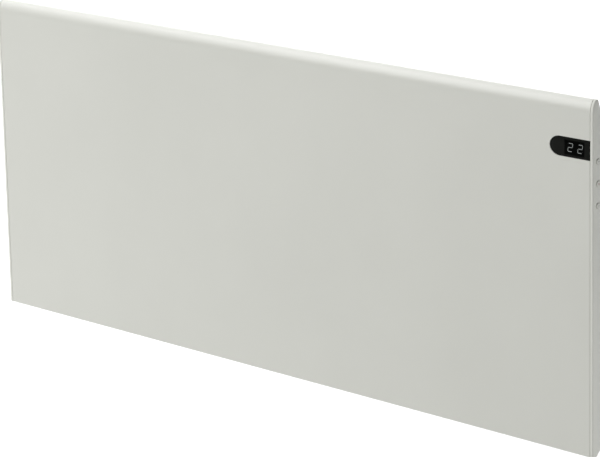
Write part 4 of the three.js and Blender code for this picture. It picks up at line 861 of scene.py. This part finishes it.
def wallBracket():
    b, armX, half, wall = bracket, hanging["armX"], bracket["sheet"] / 2, heater["wallDepth"]
    web, ear, end = wall - half, b["earFront"] + half, armX - half + b["armWidth"]
    sheet, bend, top, bottom = b["sheet"], b["bend"], b["top"], b["bottom"]
    (front, low), (back, wallLow) = b["foot"]
    under, over, earLow = bottom - 2 * past, top + 2 * past, top - b["earHeight"]
    through = (web - 2 * past, web + 2 * past)
    arms, spare, ears, blank, hooks, plates, lips, holes = (bmesh.new() for _ in range(8))
    for side in (-1, 1):
        x, catchX = side * armX, side * hanging["catchX"]
        across = (x - 3 * past, x + 3 * past)
        prism(arms, bentStrip([(x, b["earFront"]), (x, web), (side * end, web)], sheet, bend),
              bottom, top, "z")
        prism(spare, [(front, under), (back, under), (back, wallLow), (front, low)], *across, "x")
        prism(spare, box(front, ear + bend, earLow, over), *across, "x")
        prism(ears, bentStrip([(side * end, ear), (x, ear), (x, ear + b["earFold"])], sheet, bend),
              earLow, top, "z")
        prism(hooks, hookOutline(), x - half, x + half, "x")
        prism(holes, ring(catchX, hanging["catchZ"], b["catchHole"]), b["earFront"] - past,
              ear + 2 * past, "y")
        prism(holes, ring(catchX, b["armHole"], b["hole"]), *through, "y")
        for z in b["rails"]:
            prism(holes, ring(side * b["holeSpread"], z, b["hole"]), *through, "y")
    for z in b["rails"]:
        low, high = z - b["railHeight"] / 2, z + b["railHeight"] / 2 - half
        reach, lipReach = armX + b["overlap"], armX - b["lipEnd"]
        prism(plates, box(web - half, web + half, low, high - bend), -reach, reach, "x")
        prism(lips, bentStrip([(wall - b["railLip"], high), (web, high), (web, low)], sheet, bend),
              -lipReach, lipReach, "x")
    prism(blank, roundedBox(-end, end, bottom, top, b["corner"]), heater["panBack"], wall + past,
          "y")
    piece = reshape(newPiece("wallBracket", arms, finishes["zinc_sheet"]), spare)
    for work, operation in ((ears, "UNION"), (blank, "INTERSECT"), (hooks, "UNION"),
                            (plates, "UNION"), (lips, "UNION"), (holes, "DIFFERENCE")):
        reshape(piece, work, operation)
    dress(piece, "bracket", "wall_bracket", edge=0.25)


# Quarter-turn catches: a T-headed bolt riveted through a tapering lever with a finger tab
catch = dict(shank=2.5, edge=0.5, headLength=15.0, headWidth=5.5, head=(50.2, 53.2),
             lever=(59.8, 62.8), hub=6.0, tip=4.5, reach=25.5, tab=(27.0, 29.2), tabTop=68.8,
             tabHalf=3.4, tabLap=0.6, tabCorner=1.5, tabEdge=0.4, ribs=3, ribStart=1.2,
             ribPitch=1.6, ribHalf=(0.35, 2.4), ribDepth=0.3, core=(9.0, 21.0), coreWidth=4.0,
             coreDepth=1.2, turnedEdge=0.4, rivet=4.0, rivetSeat=63.1, rivetTop=64.3,
             rivetCrown=(1.4, 0.08))


def catchLever(side, word):
    c, (x, z) = catch, (hanging["catchX"], hanging["catchZ"])
    (low, high), (near, far) = c["lever"], (x + value for value in c["tab"])
    touch = math.degrees(math.acos((c["hub"] - c["tip"]) / c["reach"]))
    outline = (arc(x + c["reach"], z, c["tip"], -touch, touch, 14)
               + arc(x, z, c["hub"], touch, 360 - touch, 24))
    lever, tab, cuts = bmesh.new(), bmesh.new(), bmesh.new()
    prism(lever, outline, low, high, "y", edge=c["edge"])
    prism(tab, roundedBox(low + c["tabLap"], c["tabTop"], z - c["tabHalf"], z + c["tabHalf"],
                          c["tabCorner"]), near, far, "x", edge=c["tabEdge"])
    (thin, tall), deep = c["ribHalf"], c["ribDepth"]
    for k in range(c["ribs"]):
        y = high + c["ribStart"] + c["ribPitch"] * k
        prism(tab, roundedBox(y - thin, y + thin, z - tall, z + tall, deep, 3), far - deep,
              far + deep, "x")
    prism(cuts, ring(x, z, c["shank"] + heater["fit"]), low - past, high + past, "y")
    start, end = c["core"]
    prism(cuts, slotOutline(x + (start + end) / 2, z, end - start, c["coreWidth"]),
          high - c["coreDepth"], high + past, "y")
    piece = newPiece("catchLever" + word.capitalize(), lever, finishes["black_plastic"])
    reshape(piece, tab, "UNION")
    reshape(piece, cuts)
    if side < 0:
        mirror(piece)
    dress(piece, "catch_" + word, "catch_lever_" + word)


def catchBolt(side, word):
    c, x, z = catch, side * hanging["catchX"], hanging["catchZ"]
    (low, high), (inset, drop), shank, rivet = c["head"], c["rivetCrown"], c["shank"], c["rivet"]
    seat, top, edge = c["rivetSeat"], c["rivetTop"], c["turnedEdge"]
    head, barrel = bmesh.new(), bmesh.new()
    prism(head, slotOutline(x, z, c["headLength"], c["headWidth"]), low, high, "y", edge=c["edge"])
    turned(barrel, [(shank - edge, low + 2 * edge), (shank, low + 3 * edge), (shank, seat),
                    (rivet, seat), (rivet, seat + edge), (rivet - edge, seat + 2 * edge),
                    (rivet - inset, top - drop), (edge, top)], x, z, "y", 40)
    piece = newPiece("catchBolt" + word.capitalize(), head, finishes["black_plastic"])
    reshape(piece, barrel, "UNION")
    dress(piece, "catch_" + word, "catch_bolt_" + word, edge=0.08)


rearPan()
casingScrews()
cableGland()
wallBracket()
for side, word in ((-1, "left"), (1, "right")):
    catchLever(side, word)
    catchBolt(side, word)
print("pan, screws, gland, bracket and catches built")


# The frame's own solids: joined at their seams, smoothed over shallow facets, edges rounded
nodeFinish = dict(seam=0.005, sharp=38, edge=0.12, segments=2)
nodeEdges = dict(heating_fins=0.15, relay=0.4, supply_module=0.5, filter_capacitor=0.4,
                 terminal_block=0.3, board_tray=0.3, gland_nut=0.3, sensor_clip=0.2,
                 earth_stud=0.2)

# The finish of every node, by how its name starts
nodesBySlot = dict(
    panel_paint="front_panel", cap_plastic="end_cap button", lens_black="display_lens",
    zinc_sheet="rear_pan partition hanger_plate element_bracket wall_bracket",
    led_face="digit_module", circuit_board="control_board power_board",
    insulation_sheet="board_insulator", shield_sheet="heat_shield", fin_alloy="heating_fins",
    rod_steel="heating_rod rod_terminal", phenolic="thermal_cutout", relay_case="relay",
    black_plastic="board_tray supply_module cable_gland gland_nut room_sensor tact_switch catch",
    capacitor_case="filter_capacitor", clear_plastic="terminal_block sensor_clip",
    brass_stud="earth_stud", bush_ceramic="element_bush", zinc_screw="casing_screw",
    lead_brown="lead_live", lead_blue="lead_neutral lead_return", lead_green="lead_earth",
    lead_black="lead_switched lead_bridge", lead_grey="lead_sensor ribbon_cable",
)


def seamTree():
    tree = bpy.data.node_groups.new("joinSeams", "GeometryNodeTree")
    for way in ("INPUT", "OUTPUT"):
        tree.interface.new_socket("Geometry", in_out=way, socket_type="NodeSocketGeometry")
    start, end, merge, angle, sharp, normals = (tree.nodes.new(kind) for kind in (
        "NodeGroupInput", "NodeGroupOutput", "GeometryNodeMergeByDistance",
        "GeometryNodeInputMeshEdgeAngle", "FunctionNodeCompare", "GeometryNodeSetMeshNormal"))
    merge.inputs["Distance"].default_value = mm(nodeFinish["seam"])
    sharp.inputs[1].default_value = math.radians(nodeFinish["sharp"])
    normals.inputs["Remove Custom"].default_value = True
    normals.inputs["Face Sharpness"].default_value = False
    tree.links.new(start.outputs[0], merge.inputs["Geometry"])
    tree.links.new(angle.outputs["Unsigned Angle"], sharp.inputs[0])
    tree.links.new(merge.outputs[0], normals.inputs["Mesh"])
    tree.links.new(sharp.outputs[0], normals.inputs["Edge Sharpness"])
    tree.links.new(normals.outputs[0], end.inputs[0])
    return tree


def dressNodes():
    slotOf = {node: slot for slot, starts in nodesBySlot.items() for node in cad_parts
              if node.startswith(tuple(starts.split()))}
    seams, n = seamTree(), nodeFinish
    for name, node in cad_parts.items():
        node.data.materials.clear()
        node.data.materials.append(finishes[slotOf[name]])
        node.modifiers.new("seams", "NODES").node_group = seams
        rounding = node.modifiers.new("rounding", "BEVEL")
        rounding.width, rounding.segments = mm(nodeEdges.get(name, n["edge"])), n["segments"]
        rounding.limit_method, rounding.angle_limit = "ANGLE", math.radians(n["sharp"])
        rounding.harden_normals = True


dressNodes()
print("frame nodes dressed")


# Studio: pale floor far below, washed from above behind the heater; two soft keys on the left,
# one above the other, that the rolled shoulder mirrors as one bright band; a small card for the
# right cap's side
studio = dict(floorDrop=0.55, floorHalf=9.0, floorLight="#F6F6F6", floorDark="#F3F3F3",
              floorPatches=4.0, room=0.16)
softBoxes = dict(
    floorWash=dict(where=(-2.6, 2.6, 2.4), aim=(-2.2, 2.2, -1.0), size=(4.0, 4.0), power=165.0),
    middleKey=dict(where=(-5.1, -5.3, 3.0), aim=(0.0, 0.0, -0.1), size=(2.4, 4.5), power=262.0,
                   tall=(0, 0.6, 0.8)),
    highKey=dict(where=(-6.2, -2.34, 6.0), aim=(0.0, 0.0, -0.1), size=(5.4, 5.4), power=400.0),
    rightCard=dict(where=(1.7, 0.5, -0.6), aim=(0.46, 0.0, -0.25), size=(0.5, 0.5), power=4.8),
)


def softBox(name, where, aim, size, power, tall=(0, 0, 1)):
    data = bpy.data.lights.new(name, "AREA")
    data.shape, data.energy = "RECTANGLE", power
    data.size, data.size_y = size
    lamp = bpy.data.objects.new(name, data)
    bpy.context.scene.collection.objects.link(lamp)
    lamp.location = where
    back = (Vector(where) - Vector(aim)).normalized()
    up = (Vector(tall) - Vector(tall).dot(back) * back).normalized()
    lamp.rotation_euler = Matrix((up.cross(back), up, back)).transposed().to_euler()


# Matt seamless paper: an even ground, almost white, with a barely seen unevenness
def paperFloor():
    s = studio
    level = place(0, 0, 0).z - s["floorDrop"]
    work, half = bmesh.new(), s["floorHalf"]
    work.faces.new([work.verts.new((x, y, level)) for x, y in box(-half, half, -half, half)])
    material, tree, shader, where = startMaterial("paperFloor", Roughness=0.85, IOR=1.3)
    patches = addNode(tree, "TexNoise", {"Vector": where},
                      {"Scale": s["floorPatches"], "Detail": 3.0})
    finish(tree, shader, colour=addNode(tree, "ValToRGB", {"Fac": patches},
                                        stops=[(0.3, s["floorDark"]), (0.7, s["floorLight"])]))
    newPiece("paperFloor", work, material)


def setStudio():
    paperFloor()
    world = bpy.data.worlds.new("studioRoom")
    world.use_nodes = True
    room = world.node_tree.nodes["Background"]
    room.inputs[0].default_value, room.inputs[1].default_value = (1, 1, 1, 1), studio["room"]
    bpy.context.scene.world = world
    for name, values in softBoxes.items():
        softBox(name, **values)
    bpy.context.scene.view_settings.view_transform = "Standard"


setStudio()
print("studio set")
